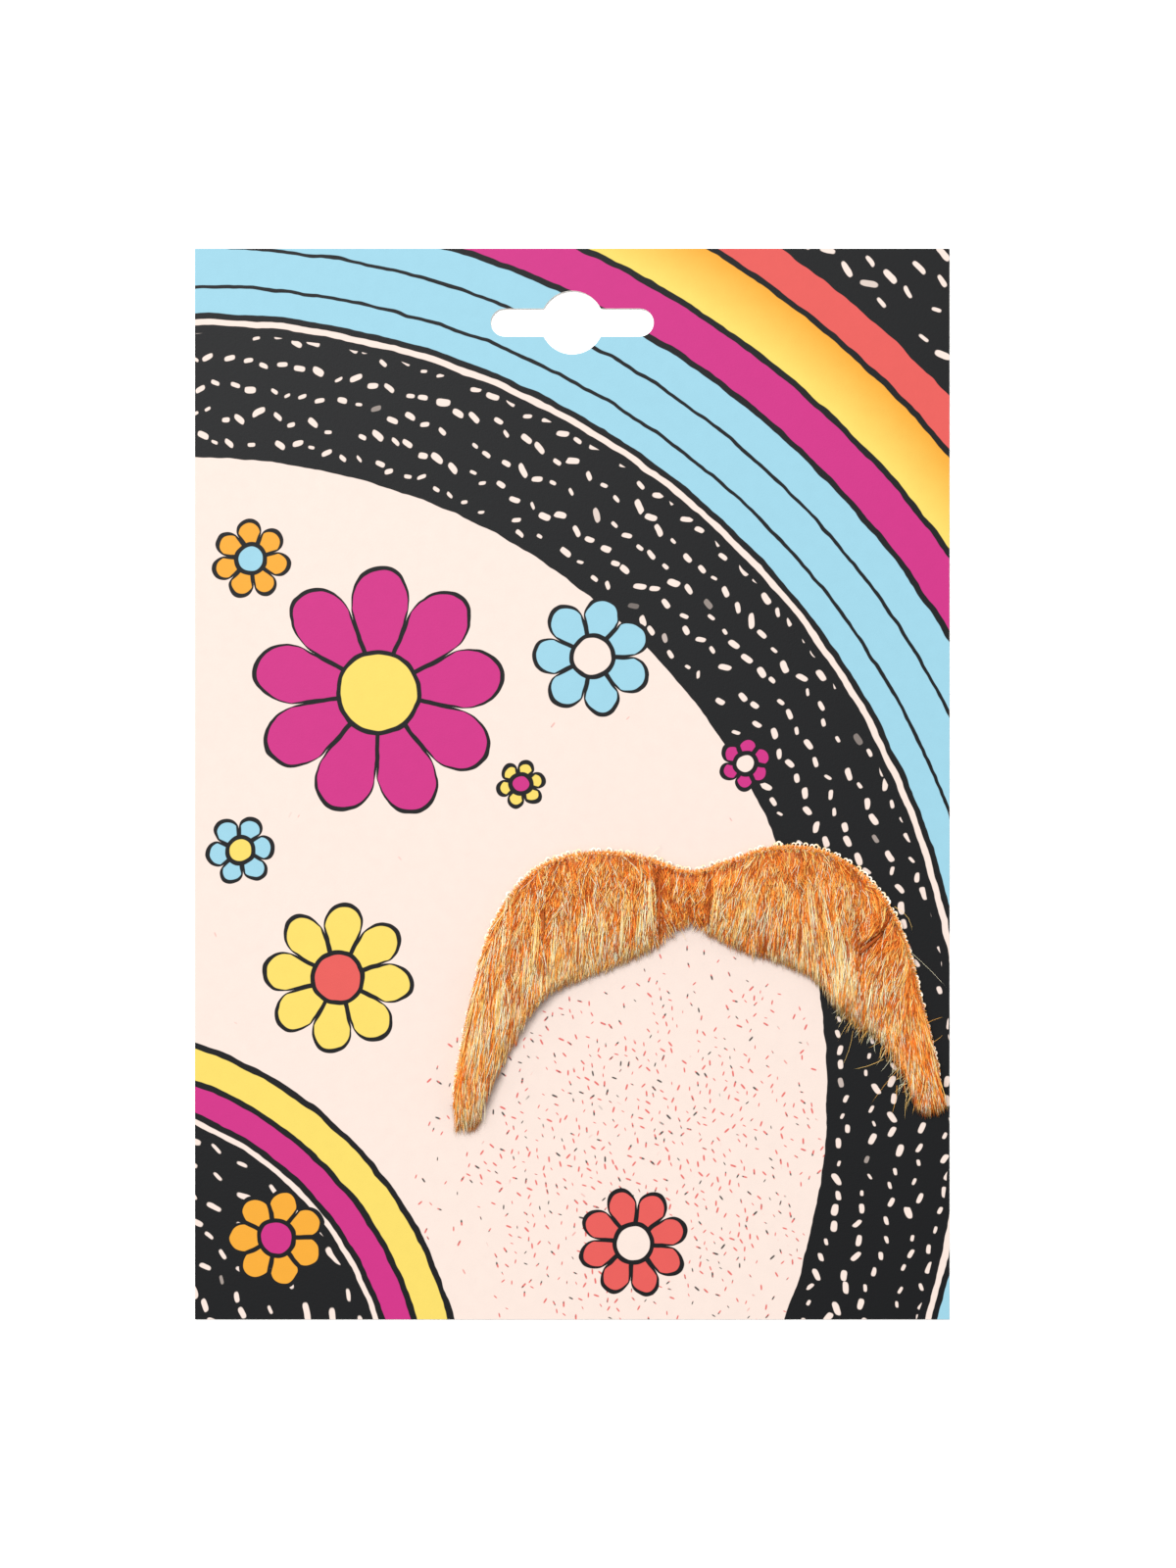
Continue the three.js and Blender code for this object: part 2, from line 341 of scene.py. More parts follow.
PRINT_EDGE = 0.09 * MM


def distance(x, y, centre):
    """How far a point is from a centre, to the right of it, and above it."""
    right = x - centre["x"]
    up = y - centre["y"]
    return (right * right + up * up) ** 0.5, right, up


def flecks(finish, across, up, form, kept):
    """Hand-set flecks, one to a cell, 1 inside them and 0 outside. Kept is the share that shows."""
    cell = form["cell"]
    column = across / cell
    row = up / cell + column.floor() * 0.5
    spot = finish.node("ShaderNodeCombineXYZ", {0: column.floor(), 1: row.floor()})
    chance = finish.node("ShaderNodeTexWhiteNoise", {"Vector": spot}, {"noise_dimensions": "2D"}, "Color")
    aside, lift, size = finish.parts(chance)
    right = column.fraction() - 0.5 - (aside - 0.5) * 0.4
    above = row.fraction() - 0.5 - (lift - 0.5) * 0.4
    angle = ((size * 7.3).fraction() - 0.5) * form["turn"]
    sine = angle.sine()
    cosine = (angle + math.pi / 2).sine()
    along = (above * cosine + right * sine) / (form["length"] / cell)
    beside = (right * cosine - above * sine) / (form["width"] / cell)
    reach = (abs(along) ** 3 + abs(beside) ** 3) ** (1 / 3)
    shown = (kept - (aside * 5.1 + lift * 3.7).fraction()).over(0.0, 0.02)
    return (size * 0.55 + 0.45 - reach).over(0.0, PRINT_EDGE / form["width"]) * shown


def draw_rings(finish, ground, x, y, rings, shades):
    """The ground with one set of rings on it."""
    far, right, up = distance(x, y, rings)
    drawing = ground
    for radius, shade in rings["rings"]:
        drawing = finish.mix(far.over(radius, PRINT_EDGE), drawing, shades[shade] if shade else ground)
    widest = max(outer for _, outer in rings["flecked"])
    marks = flecks(finish, far, up.bearing(right) * (widest * 0.8), FLECKS, 0.94)
    for inner, outer in rings["flecked"]:
        band = far.over(inner, PRINT_EDGE) * (1 - far.over(outer, PRINT_EDGE))
        drawing = finish.mix(marks * band, drawing, shades["paper"])
    return drawing


def draw_daisy(finish, ground, x, y, daisy, shades):
    """The ground with one outlined flower on it."""
    far, right, up = distance(x, y, daisy)
    angle = up.bearing(right) + daisy["turn"]
    wave = abs((angle * (daisy["petals"] / 2)).sine())
    edge = (wave**0.5) * (daisy["reach"] * 0.42) + daisy["reach"] * 0.58
    within = edge - far
    gap = wave * far
    parted = gap.over(LINE * daisy["petals"] / 4, PRINT_EDGE * 4)
    petal = finish.mix(parted, shades["ink"], shades[daisy["petal"]])
    flower = finish.mix(within.over(LINE, PRINT_EDGE), shades["ink"], petal)
    outer = finish.mix(within.over(0.0, PRINT_EDGE), ground, flower)
    eye = daisy["reach"] * 0.3
    ringed = finish.mix((eye + LINE - far).over(0.0, PRINT_EDGE), outer, shades["ink"])
    return finish.mix((eye - far).over(0.0, PRINT_EDGE), ringed, shades[daisy["eye"]])


def print_finish(settings):
    finish = Finish("card_print")
    names = ("paper", "ink", "sky", "rose", "sun", "amber", "red")
    shades = {name: tuple(getattr(settings, name)) for name in names}
    point, x, y, z = finish.place()
    drawn_x = x + (finish.noise(point, 5 * MM) - 0.5) * WOBBLE
    drawn_y = y + (finish.noise(point, 6 * MM) - 0.5) * WOBBLE
    far, *_ = distance(drawn_x, drawn_y, SWEEP)
    deepened = ((far - DEEPENING["start"]) / DEEPENING["length"]).most(0.0).least(1.0)
    shades["sun"] = finish.mix(deepened, shades["sun"], shades["amber"])
    near, *_ = distance(drawn_x, drawn_y, DASHED)
    fading = (1 - near.over(DASHED["reach"], DASHED["fading"])) * 0.75
    dashes = flecks(finish, x + y * 0.22, y - x * 0.22, DASHES, fading)
    dash = finish.mix((finish.noise(point, 1.5 * MM) - 0.56).over(0.0, 0.02), shades["red"], shades["ink"])
    drawing = finish.mix(dashes * 0.9, shades["paper"], dash)
    drawing = draw_rings(finish, drawing, drawn_x, drawn_y, SWEEP, shades)
    drawing = draw_rings(finish, drawing, drawn_x, drawn_y, CORNER, shades)
    for daisy in DAISIES:
        drawing = draw_daisy(finish, drawing, drawn_x, drawn_y, daisy, shades)
    grain = finish.noise(point, 0.22 * MM, 3.0)
    mottle = finish.noise(point, 2.4 * MM, 2.0)
    printed = finish.mix(grain * 0.06 + mottle * 0.05, drawing, shades["ink"])
    board = finish.mix(grain * 0.3, tuple(settings.board), colour(214, 206, 193))
    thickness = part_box("display_card")[1].z
    front = z.over(thickness * 0.97, thickness * 0.02)
    return finish.surface(
        {
            "Base Color": finish.mix(front, board, printed),
            "Roughness": 0.62 - front * 0.2 + grain * 0.08,
            "Specular IOR Level": 0.1,
            "Normal": finish.bump(grain + finish.noise(point, 0.7 * MM) * 0.6, 0.012 * MM),
        }
    )


# The finishes of the cloth, the adhesive and the hair.


def knit_finish(settings):
    finish = Finish("backing_knit")
    point, x, y, _ = finish.place()
    rib = abs((x * (math.pi / (0.9 * MM))).sine())
    stitch = abs((y * (math.pi / (0.7 * MM)) + rib * 0.8).sine())
    height = rib * 0.6 + stitch * 0.4
    fuzz = finish.noise(point, 0.25 * MM, 3.0)
    # The knit is coloured darker where it lies low, painted shade in the hollows between its ribs and
    # stitches, and it also varies at random with the fuzz.
    shade = finish.mix(height * 0.6 + fuzz * 0.4, colour(206, 176, 130), tuple(settings.knit))
    return finish.surface(
        {
            "Base Color": shade,
            "Roughness": 0.85 + fuzz * 0.1,
            "Sheen Weight": 0.2,
            "Normal": finish.bump(height + fuzz * 0.5, 0.09 * MM),
        }
    )


def glue_finish(settings):
    finish = Finish("adhesive_film")
    point, *_ = finish.place()
    ripple = finish.noise(point, 1.6 * MM, 3.0)
    shade = finish.mix(ripple, tuple(settings.glue), colour(224, 208, 176))
    return finish.surface(
        {
            "Base Color": shade,
            "Roughness": 0.3 + ripple * 0.15,
            "Normal": finish.bump(ripple, 0.06 * MM),
        }
    )


def loop_finish():
    finish = Finish("cut_edge_yarn")
    point, *_ = finish.place()
    patch = finish.noise(point, 1.4 * MM, 2.0)
    fuzz = finish.noise(point, 0.12 * MM, 3.0)
    shade = finish.mix(patch.over(0.55, 0.25), colour(254, 249, 238), colour(243, 216, 170))
    return finish.surface(
        {
            "Base Color": finish.mix(fuzz * 0.3, shade, colour(214, 160, 96)),
            "Roughness": 0.75 + fuzz * 0.2,
            "Normal": finish.bump(fuzz, 0.05 * MM),
        }
    )


def matted_finish(settings):
    finish = Finish("matted_pile")
    point, *_ = finish.place()
    strands = finish.noise(point, 0.3 * MM, 4.0, stretch=(1.0, 0.12, 0.3))
    clouds = finish.noise(point, 3.0 * MM, 2.0)
    # The pile's colour is darker than the hair's, painted shade for the depths of the fur, and it darkens at
    # random in broad patches.
    shade = finish.mix(strands, tuple(settings.matted), colour(196, 112, 46))
    return finish.surface(
        {
            "Base Color": finish.mix(clouds * 0.5, shade, colour(92, 44, 18)),
            "Roughness": 0.7 + strands * 0.15,
            "Normal": finish.bump(strands, 0.25 * MM),
        }
    )


# From the darkest shade of hair to the palest: its colour near the root and at the tip.
HAIR_SHADES = [
    (colour(152, 50, 14), colour(184, 68, 20)),
    (colour(222, 92, 20), colour(236, 112, 30)),
    (colour(241, 118, 28), colour(246, 141, 45)),
    (colour(246, 142, 44), colour(246, 166, 68)),
    (colour(244, 170, 70), colour(246, 193, 102)),
    (colour(240, 193, 104), colour(243, 214, 139)),
    (colour(233, 210, 147), colour(239, 229, 183)),
    (colour(222, 227, 191), colour(237, 243, 221)),
]


def hair_finish():
    """Each hair's shade and tone are read from where its faces lie on the hair map."""
    finish = Finish("ginger_hair")
    spot = finish.node("ShaderNodeUVMap", settings={"uv_map": HAIR_MAP})
    u, v, _ = finish.parts(spot)
    tone = (u * TONES).floor() / (TONES - 1)
    shade = (v * SHADES).floor() / SHADES
    along = (v * SHADES).fraction()
    steps = range(SHADES)
    ramps = [
        finish.node(
            "ShaderNodeValToRGB",
            {0: shade + 0.5 / SHADES},
            {"stops": [(step / SHADES, HAIR_SHADES[step][end]) for step in steps]},
        )
        for end in (0, 1)
    ]
    for ramp in ramps:
        ramp.socket.node.color_ramp.interpolation = "CONSTANT"
    body = finish.mix(along, *ramps)
    light = finish.mix(tone * 0.16, body, colour(246, 208, 120))
    return finish.surface(
        {
            "Base Color": finish.mix((1 - tone) * 0.22, light, colour(196, 88, 26)),
            "Roughness": 0.42 + tone * 0.15,
            "Specular IOR Level": 0.06,
            "Specular Tint": colour(255, 236, 180),
        }
    )


# The form of the fur, read from its solid.

# The arms narrow towards their ends, and the hair hangs further past them.
ARM_ENDS = {
    "top": -55 * MM,
    "length": 9 * MM,
    "between": 25 * MM,
    "left": -23 * MM,
    "left_narrowing": 0.6,
    "left_reach": 2.6 * MM,
    "left_slant": 0.3,
    "right_narrowing": 0.1,
    "right_reach": 0.1 * MM,
}
# The bend of the left arm, where less hair hangs over the cloth.
BARE_BEND = {"x": -6 * MM, "y": -43 * MM, "reach": 7 * MM, "share": 0.8}


def eased(share):
    """A smooth step: 0 up to a share of 0, and 1 from a share of 1."""
    share = np.clip(share, 0, 1)
    return share * share * (3 - 2 * share)


def outline_of(mesh):
    """The stretches of a flat layer's outline, as seen from above. Each is a pair of points."""
    mesh.calc_loop_triangles()
    points = mesh_points(mesh)
    upper = points[:, 2] > points[:, 2].mean()
    walls = [t.vertices for t in mesh.loop_triangles if abs(t.normal.z) < 0.5]
    edges = [[v for v in wall if upper[v]] for wall in walls]
    return [points[edge, :2] for edge in edges if len(edge) == 2]


def enclosed(mesh):
    """The area of a flat layer's upper face."""
    return sum(face.area for face in mesh.polygons if face.normal.z > 0.5)


class FurForm:
    """The pile's height and outline on a fine grid, with the steps between its locks softened."""

    pitch = 0.4 * MM
    margin = 9 * MM
    rim_fuzz = 0.1 * MM
    softening = (6 * MM, 3 * MM, 1.5 * MM)
    # The hem comes down to this height over the card, within this distance past the cloth.
    hem_fall = 4 * MM
    hem_height = 1.1 * MM
    hem_share = 0.85
    deepest_parting = 2 * MM
    lowest_hair = 0.5 * MM
    thin_rim = 2.5 * MM
    least_matted = 0.15 * MM
    # From where an edge counts as facing down, and over what step: at all, and fully.
    faces_down = (-0.04, 0.16)
    faces_well_down = (-0.3, 0.6)

    def __init__(self):
        low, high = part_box("fur_pile")
        self.cloth_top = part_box("backing_cloth")[1].z
        self.card_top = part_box("display_card")[1].z
        self.xs = np.arange(low.x - self.margin, high.x + self.margin, self.pitch)
        self.ys = np.arange(low.y - self.margin, high.y + self.margin, self.pitch)
        tops = self._tops(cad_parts["fur_pile"].data, high.z + self.margin)
        found = np.isfinite(tops)
        self.heights = self._spread(np.where(found, tops, 0.0), found)
        self.past_cloth = self._distance(outline_of(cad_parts["backing_cloth"].data))
        self.lower_side, overhang = self._overhang(bpy.context.scene.moustache_hair.overhang)
        self.outside = self.past_cloth - overhang

    def _tops(self, mesh, above):
        mesh.calc_loop_triangles()
        corners = [v.co for v in mesh.vertices]
        tree = BVHTree.FromPolygons(corners, [t.vertices[:] for t in mesh.loop_triangles])
        down = Vector((0, 0, -1))
        hits = [tree.ray_cast(Vector((x, y, above)), down)[0] for y in self.ys for x in self.xs]
        tops = [math.nan if hit is None else hit.z for hit in hits]
        return np.array(tops).reshape(len(self.ys), len(self.xs))

    def _soften(self, field, radius):
        reach = int(math.ceil(3 * radius / self.pitch))
        steps = np.arange(-reach, reach + 1) * self.pitch
        kernel = np.exp(-((steps / radius) ** 2))
        kernel /= kernel.sum()
        for axis in (0, 1):
            field = np.apply_along_axis(np.convolve, axis, field, kernel, mode="same")
        return field

    def _spread(self, field, known):
        """The field softened where it is known, and carried on smoothly where it isn't."""
        result = np.full(field.shape, self.card_top + 1.2 * MM)
        for radius in self.softening:
            weight = self._soften(known.astype(float), radius)
            mean = self._soften(field, radius) / np.maximum(weight, 1e-9)
            share = np.clip(weight / 0.2, 0, 1)
            result = result * (1 - share) + mean * share
        return result

    def _distance(self, sides):
        """How far each place is outside an outline. It is negative inside."""
        x, y = np.meshgrid(self.xs, self.ys)
        away = np.full(x.shape, math.inf)
        inside = np.zeros(x.shape, bool)
        for (start_x, start_y), (end_x, end_y) in sides:
            run_x = end_x - start_x
            run_y = end_y - start_y
            share = ((x - start_x) * run_x + (y - start_y) * run_y) / (run_x**2 + run_y**2)
            share = share.clip(0, 1)
            away = np.minimum(away, np.hypot(x - start_x - share * run_x, y - start_y - share * run_y))
            if run_y:
                level = (start_y > y) != (end_y > y)
                inside ^= level & (x < start_x + (y - start_y) * run_x / run_y)
        return np.where(inside, -away, away)

    def _overhang(self, most):
        """Where the nearest edge of the cloth faces down, and how far hair hangs over that edge."""
        up, right = np.gradient(self.past_cloth)
        facing = up / np.maximum(np.hypot(up, right), 1e-12)
        lower_side, below = (
            eased((start - facing) / step) for start, step in (self.faces_down, self.faces_well_down)
        )
        ends = eased((ARM_ENDS["top"] - self.ys) / ARM_ENDS["length"])[:, None]
        on_left = self.xs < ARM_ENDS["between"]
        left_reach = ARM_ENDS["left_reach"] - ARM_ENDS["left_slant"] * (self.xs - ARM_ENDS["left"])
        reach = np.where(on_left, left_reach, ARM_ENDS["right_reach"])
        narrowing = np.where(on_left, ARM_ENDS["left_narrowing"], ARM_ENDS["right_narrowing"])
        hung = most * (0.8 + 0.2 * below) * (1 - ends * narrowing * (1 - below)) + reach * ends * below
        off = np.hypot(self.xs[None, :] - BARE_BEND["x"], self.ys[:, None] - BARE_BEND["y"])
        hung *= 1 - BARE_BEND["share"] * np.exp(-((off / BARE_BEND["reach"]) ** 2))
        return lower_side, self.rim_fuzz + (hung - self.rim_fuzz) * lower_side

    def at(self, field, x, y):
        """The field's value at each of many points."""
        column = np.clip((x - self.xs[0]) / self.pitch, 0, len(self.xs) - 1.001)
        row = np.clip((y - self.ys[0]) / self.pitch, 0, len(self.ys) - 1.001)
        left = column.astype(int)
        low = row.astype(int)
        right = column - left
        up = row - low
        lower = field[low, left] * (1 - right) + field[low, left + 1] * right
        upper = field[low + 1, left] * (1 - right) + field[low + 1, left + 1] * right
        return lower * (1 - up) + upper * up

    def top(self, x, y):
        """The height of the hair's outer surface, with its partings and its hem sunk to the card."""
        fall = partings_fall(x, y)
        lowest = self.card_top + self.lowest_hair
        hung = eased(self.at(self.past_cloth, x, y) / self.hem_fall) * self.at(self.lower_side, x, y)
        height = self.at(self.heights, x, y) - np.minimum(fall, self.deepest_parting)
        sunk = (self.card_top + self.hem_height - height) * self.hem_share * hung
        return np.maximum(height + sunk, lowest)

    def under(self, x, y, depth):
        """The height of the matted pile under the loose hair."""
        rim = np.clip(-self.at(self.outside, x, y) / self.thin_rim, 0, 1)
        on_cloth = self.at(self.past_cloth, x, y) < self.rim_fuzz
        lowest = np.where(on_cloth, self.cloth_top, self.card_top) + self.least_matted
        return np.maximum(self.top(x, y) - depth * (0.7 + 0.3 * rim), lowest)


@functools.cache
def fur_form():
    return FurForm()


# How the hair is combed. Each row says, near one place, how many degrees the hair leans from
# straight down towards the right, how flat it lies, from 0 to 1, and its middle shade.
COMBING = table(
    "x y lean lie shade",
    (-23.2, -61.0, 4, 0.95, 3.9),
    (-16.0, -60.0, -12, 0.95, 4.2),
    (-20.0, -52.0, -6, 0.95, 3.6),
    (-16.0, -40.0, -7, 0.9, 3.6),
    (-12.0, -28.0, -9, 0.75, 2.9),
    (-4.0, -18.0, -5, 0.55, 2.5),
    (8.0, -15.0, -2, 0.5, 2.5),
    (5.0, -25.0, -4, 0.8, 3.1),
    (-1.0, -35.0, -5, 0.95, 4.2),
    (13.0, -28.0, -3, 0.85, 3.7),
    (17.0, -19.0, -1, 0.6, 2.2),
    (22.0, -22.0, 1, 0.4, 1.7),
    (27.0, -22.0, -10, 0.6, 2.2),
    (34.0, -22.0, -13, 0.75, 3.1),
    (33.0, -29.5, -8, 0.95, 3.7),
    (43.0, -24.0, -4, 0.85, 3.5),
    (43.0, -14.0, -4, 0.5, 2.6),
    (40.0, -33.0, 0, 0.95, 4.1),
    (50.0, -34.0, 3, 0.95, 4.4),
    (55.0, -19.0, 3, 0.55, 2.5),
    (50.0, -24.0, 1, 0.85, 3.3),
    (62.0, -28.0, -32, 0.6, 2.6),
    (63.0, -38.0, -14, 0.7, 2.6),
    (53.0, -43.0, 1, 0.95, 4.0),
    (58.0, -44.0, -8, 0.9, 3.6),
    (66.0, -50.0, 6, 0.85, 2.7),
    # Painted shade: the hair of the right tip is coloured darker.
    (70.0, -62.0, 7, 0.88, 1.8),
)
COMBING_REACH = 5.0 * MM

# The lines along which the hair falls open.
PARTINGS = table(
    "from to width depth",
    ((16.8, -13.5), (17.2, -32.0), 0.8 * MM, 1.5 * MM),
    ((27.0, -16.0), (26.8, -31.0), 0.5 * MM, 1.0 * MM),
    ((62.4, -26.3), (60.7, -29.2), 0.45 * MM, 0.9 * MM),
    ((60.7, -29.2), (55.9, -33.2), 0.8 * MM, 2.6 * MM),
    ((56.3, -33.4), (55.6, -27.0), 0.7 * MM, 1.2 * MM),
    ((56.3, -33.4), (55.8, -42.5), 0.5 * MM, 1.0 * MM),
    ((-2.3, -17.9), (0.0, -22.5), 0.5 * MM, 0.7 * MM),
    ((-5.8, -23.0), (-5.2, -27.5), 0.5 * MM, 0.6 * MM),
    ((44.9, -19.0), (44.4, -34.0), 0.45 * MM, 1.0 * MM),
    ((37.8, -25.5), (37.6, -34.0), 0.5 * MM, 1.5 * MM),
    ((34.2, -27.5), (34.8, -32.0), 0.42 * MM, 1.1 * MM),
    ((41.4, -28.0), (42.2, -34.5), 0.42 * MM, 1.1 * MM),
    ((48.9, -26.0), (50.4, -36.0), 0.35 * MM, 0.6 * MM),
    ((53.4, -29.0), (54.2, -35.5), 0.4 * MM, 1.0 * MM),
    ((-16.9, -42.0), (-16.9, -47.5), 0.35 * MM, 0.7 * MM),
    ((-18.4, -52.0), (-18.8, -57.0), 0.35 * MM, 0.6 * MM),
)


def parting_pull(parting, x, y):
    """How strongly a parting acts at each point, from 0 to 1."""
    start = np.array(parting["from"]) * MM
    run = np.array(parting["to"]) * MM - start
    share = ((x - start[0]) * run[0] + (y - start[1]) * run[1]) / (run @ run)
    share = np.clip(share, 0, 1)
    off = np.hypot(x - start[0] - share * run[0], y - start[1] - share * run[1])
    return np.exp(-((off / parting["width"]) ** 2))


def partings_fall(x, y):
    """How far the partings let the hair sink at each point."""
    return sum(parting_pull(parting, x, y) * parting["depth"] for parting in PARTINGS)


def combing(column, x, y):
    """The value of a column of the combing table at each point, blended between its rows."""
    total = np.zeros(np.shape(x))
    weights = np.full(np.shape(x), 1e-12)
    for row in COMBING:
        off = np.hypot(x - row["x"] * MM, y - row["y"] * MM)
        weight = np.exp(-((off / COMBING_REACH) ** 2)) + 1e-6 / (1 + off / COMBING_REACH)
        total += weight * row[column]
        weights += weight
    return total / weights


def scattered(spacing, low, high, rng):
    """Points on a square grid, each moved by chance within its own cell."""
    columns = np.arange(low[0], high[0], spacing)
    rows = np.arange(low[1], high[1], spacing)
    x, y = np.meshgrid(columns, rows)
    jitter = rng.uniform(-0.5, 0.5, (2, *x.shape)) * spacing
    return (x + jitter[0]).ravel(), (y + jitter[1]).ravel()


def nearest(x, y, centres_x, centres_y):
    """For each point, which of the centres lies nearest."""
    tree = KDTree(len(centres_x))
    for order, centre in enumerate(zip(centres_x, centres_y)):
        tree.insert((*centre, 0), order)
    tree.balance()
    return np.array([tree.find((px, py, 0))[1] for px, py in zip(x, y)])


class Hairs:
    """The paths, thickness and shading of many hairs, as arrays with one row for each hair."""

    def __init__(self, paths, thickness, shade, tone):
        self.paths = paths
        self.thickness = thickness
        self.shade = shade
        self.tone = tone

    def some(self, chosen):
        return Hairs(self.paths[chosen], self.thickness[chosen], self.shade[chosen], self.tone[chosen])

    def and_more(self, others):
        columns = ("paths", "thickness", "shade", "tone")
        return Hairs(*(np.concatenate([getattr(self, name), getattr(others, name)]) for name in columns))


# Single hairs that stick out past the rest, and the fringe under the right arm.
STRAYS = table(
    "from to bend",
    ((55.0, -48.3), (52.7, -55.5), 0.4),
    ((61.7, -50.7), (59.4, -55.4), 0.2),
    ((64.6, -54.9), (58.4, -62.9), -0.3),
    ((55.9, -46.5), (56.1, -50.9), 0.2),
    ((54.8, -45.8), (52.1, -50.4), -0.2),
    ((63.6, -59.0), (62.5, -64.8), 0.3),
    ((65.6, -60.5), (65.2, -65.9), -0.2),
    ((61.0, -53.9), (55.0, -55.9), 0.3),
    ((66.2, -32.9), (73.4, -40.0), 0.2),
    ((63.0, -24.0), (66.6, -29.2), 1.0),
    ((14.9, -14.2), (17.6, -12.0), 0.1),
    ((21.0, -28.4), (22.4, -30.9), 0.1),
    ((69.0, -46.9), (72.8, -45.6), 0.2),
    ((70.0, -50.6), (72.6, -49.0), -0.2),
)
FRINGE = {
    "left": 51 * MM,
    "top": -43 * MM,
    "bottom": -61 * MM,
    "inner": -1.2 * MM,
    "outer": -0.2 * MM,
    "lean": -14,
    "splay": 22,
    "reach": (1.5, 4.2),
    "bend": 0.35,
    "count": 80,
}

# Long pale strands that lie on top of the rest, partly pale hair and partly painted highlight,
# and dark ones down in the partings, painted shadow along them.
PALE_STRANDS = table(
    "from to",
    ((15.2, -16.5), (15.8, -30.6)),
    ((14.6, -20.4), (14.0, -31.9)),
    ((13.6, -23.2), (12.7, -32.5)),
    ((10.0, -22.2), (9.2, -33.8)),
    ((6.0, -24.0), (5.4, -35.0)),
    ((1.9, -25.0), (1.0, -37.0)),
    ((-3.2, -25.5), (-4.0, -38.0)),
    ((-7.0, -24.2), (-7.6, -37.7)),
    ((-8.6, -31.0), (-9.2, -42.0)),
    ((-12.3, -22.4), (-13.8, -36.7)),
    ((-13.4, -38.0), (-15.0, -50.0)),
    ((-17.6, -42.0), (-19.6, -55.0)),
    ((28.6, -20.0), (27.4, -30.5)),
    ((34.0, -21.0), (32.0, -31.5)),
    ((38.6, -22.0), (37.6, -32.5)),
    ((46.1, -18.8), (47.7, -32.5)),
    ((48.4, -19.4), (51.1, -34.8)),
    ((50.6, -22.0), (52.6, -38.0)),
    ((52.6, -29.0), (53.8, -40.0)),
    ((51.4, -33.0), (52.4, -45.0)),
    ((54.4, -30.0), (54.6, -43.5)),
    ((58.6, -36.5), (57.6, -45.5)),
)
PARTING_SHADOWS = table(
    "from to",
    ((60.9, -28.9), (56.6, -32.6)),
    ((59.4, -30.2), (55.9, -33.4)),
    ((56.2, -30.2), (55.7, -34.6)),
    ((53.4, -29.0), (54.1, -34.8)),
    ((44.7, -25.4), (44.3, -33.2)),
    ((38.2, -25.8), (37.7, -33.8)),
    ((36.4, -28.4), (36.2, -33.4)),
    ((17.1, -16.0), (16.9, -29.0)),
    ((26.9, -18.0), (26.6, -29.0)),
    ((1.4, -28.0), (0.9, -35.6)),
    ((-5.6, -23.5), (-5.9, -31.0)),
)
STRAND_HAIRS = 7
TUFT_HAIRS = 4
SIDES = 3
ROLL = 1.2

# How much hairs differ by chance: in degrees of lean where they lie flat, and how many more where
# they stand up, in height, shade and tone, and how strongly each is drawn to its group's middle.
HAIR = {"lean": 1.2, "upright": 16, "shade": 1.1, "tone": 0.15}
GROUPS = {
    "strand": {"lean": 1.4, "upright": 26, "gather": 0.4, "height": 0.24, "shade": 2.0, "tone": 0.18},
    "clump": {"lean": 1.6, "upright": 16, "gather": 0.4, "height": 0.1, "shade": 0.4},
    "lock": {"lean": 2.0, "gather": 0.1},
}
SWAY = 0.11 * MM
# Some hairs are straw: pale, long and on top, partly pale hair and partly painted highlight.
# Some are dark, painted shade for the gaps between the hairs: short and as high as the rest.
STRAW_AND_HIGHLIGHT = {"share": 0.035, "length": 1.4, "height": 1.15, "thickness": 0.8, "shade": 7}
GAP_SHADOW = {"share": 0.06, "length": 0.4, "height": 1.0, "shade": 0}
# No hair grows this near to the cloth's upper edge, and to its lower one.
BARE_RIM = 0.5 * MM
BARE_HEM = 0.1 * MM
HEM_RAGGED = (-2.4 * MM, 1.5 * MM)
SHORTEST = 0.8 * MM
ROOT_DEPTH = 0.25 * MM
# Painted shadow in the partings: the hairs along a parting are coloured darker, and a parting as deep as
# this is wholly dark along its middle.
PARTING_SHADE = {"depth": 1.2 * MM, "strength": 1.8, "least": 0.3, "shades": 3}
# Near the hem the hair is coloured paler: partly the paler hair of the hem, partly painted light that
# offsets the shade where the hem slopes down to the card.
HEM_PALER = 0.7
# Hairs that lie low in the pile are coloured darker by this many shades: painted shade under the hairs above
# them.
LOW_HAIR_SHADE = 1.4

# The short hair that stands out along the cloth's rim, and the tufts between the loops. Lengths
# in pairs are in millimetres.
RIM_HAIR = {
    "spacing": 0.22 * MM,
    "inner": -1.3 * MM,
    "outer": -0.2 * MM,
    "splay": 38,
    "reach": (0.5, 1.5),
    "past_edge": (-0.1, 0.45),
    "height": (0.2, 0.9),
    "sunk": 0.2 * MM,
    "shade": (3.3, 1.3),
    "thickness": (0.7, 1.0),
}
TUFT = {
    "splay": 16,
    "reach": (0.7, 1.0),
    "back": 0.85 * MM,
    "scatter": 0.09 * MM,
    "bend": 0.08 * MM,
    "height": (0.25, 0.7),
    "sunk": 0.1 * MM,
    "shade": (2.2, 1.2),
    "thickness": (0.8, 1.1),
}
SHORT_TONES = (0.2, 0.9)
# How deep a laid strand lies under the hair's outer surface, at each share of its length.
STRAND_DEPTHS = np.array([0.9, 0.1, -0.1, -0.1, 0.2]) * MM
TRACE_STEPS = 24
TRACE_REACH = 12 * MM
HAIR_SHARES = np.array([0.0, 0.28, 0.55, 0.8, 1.0])


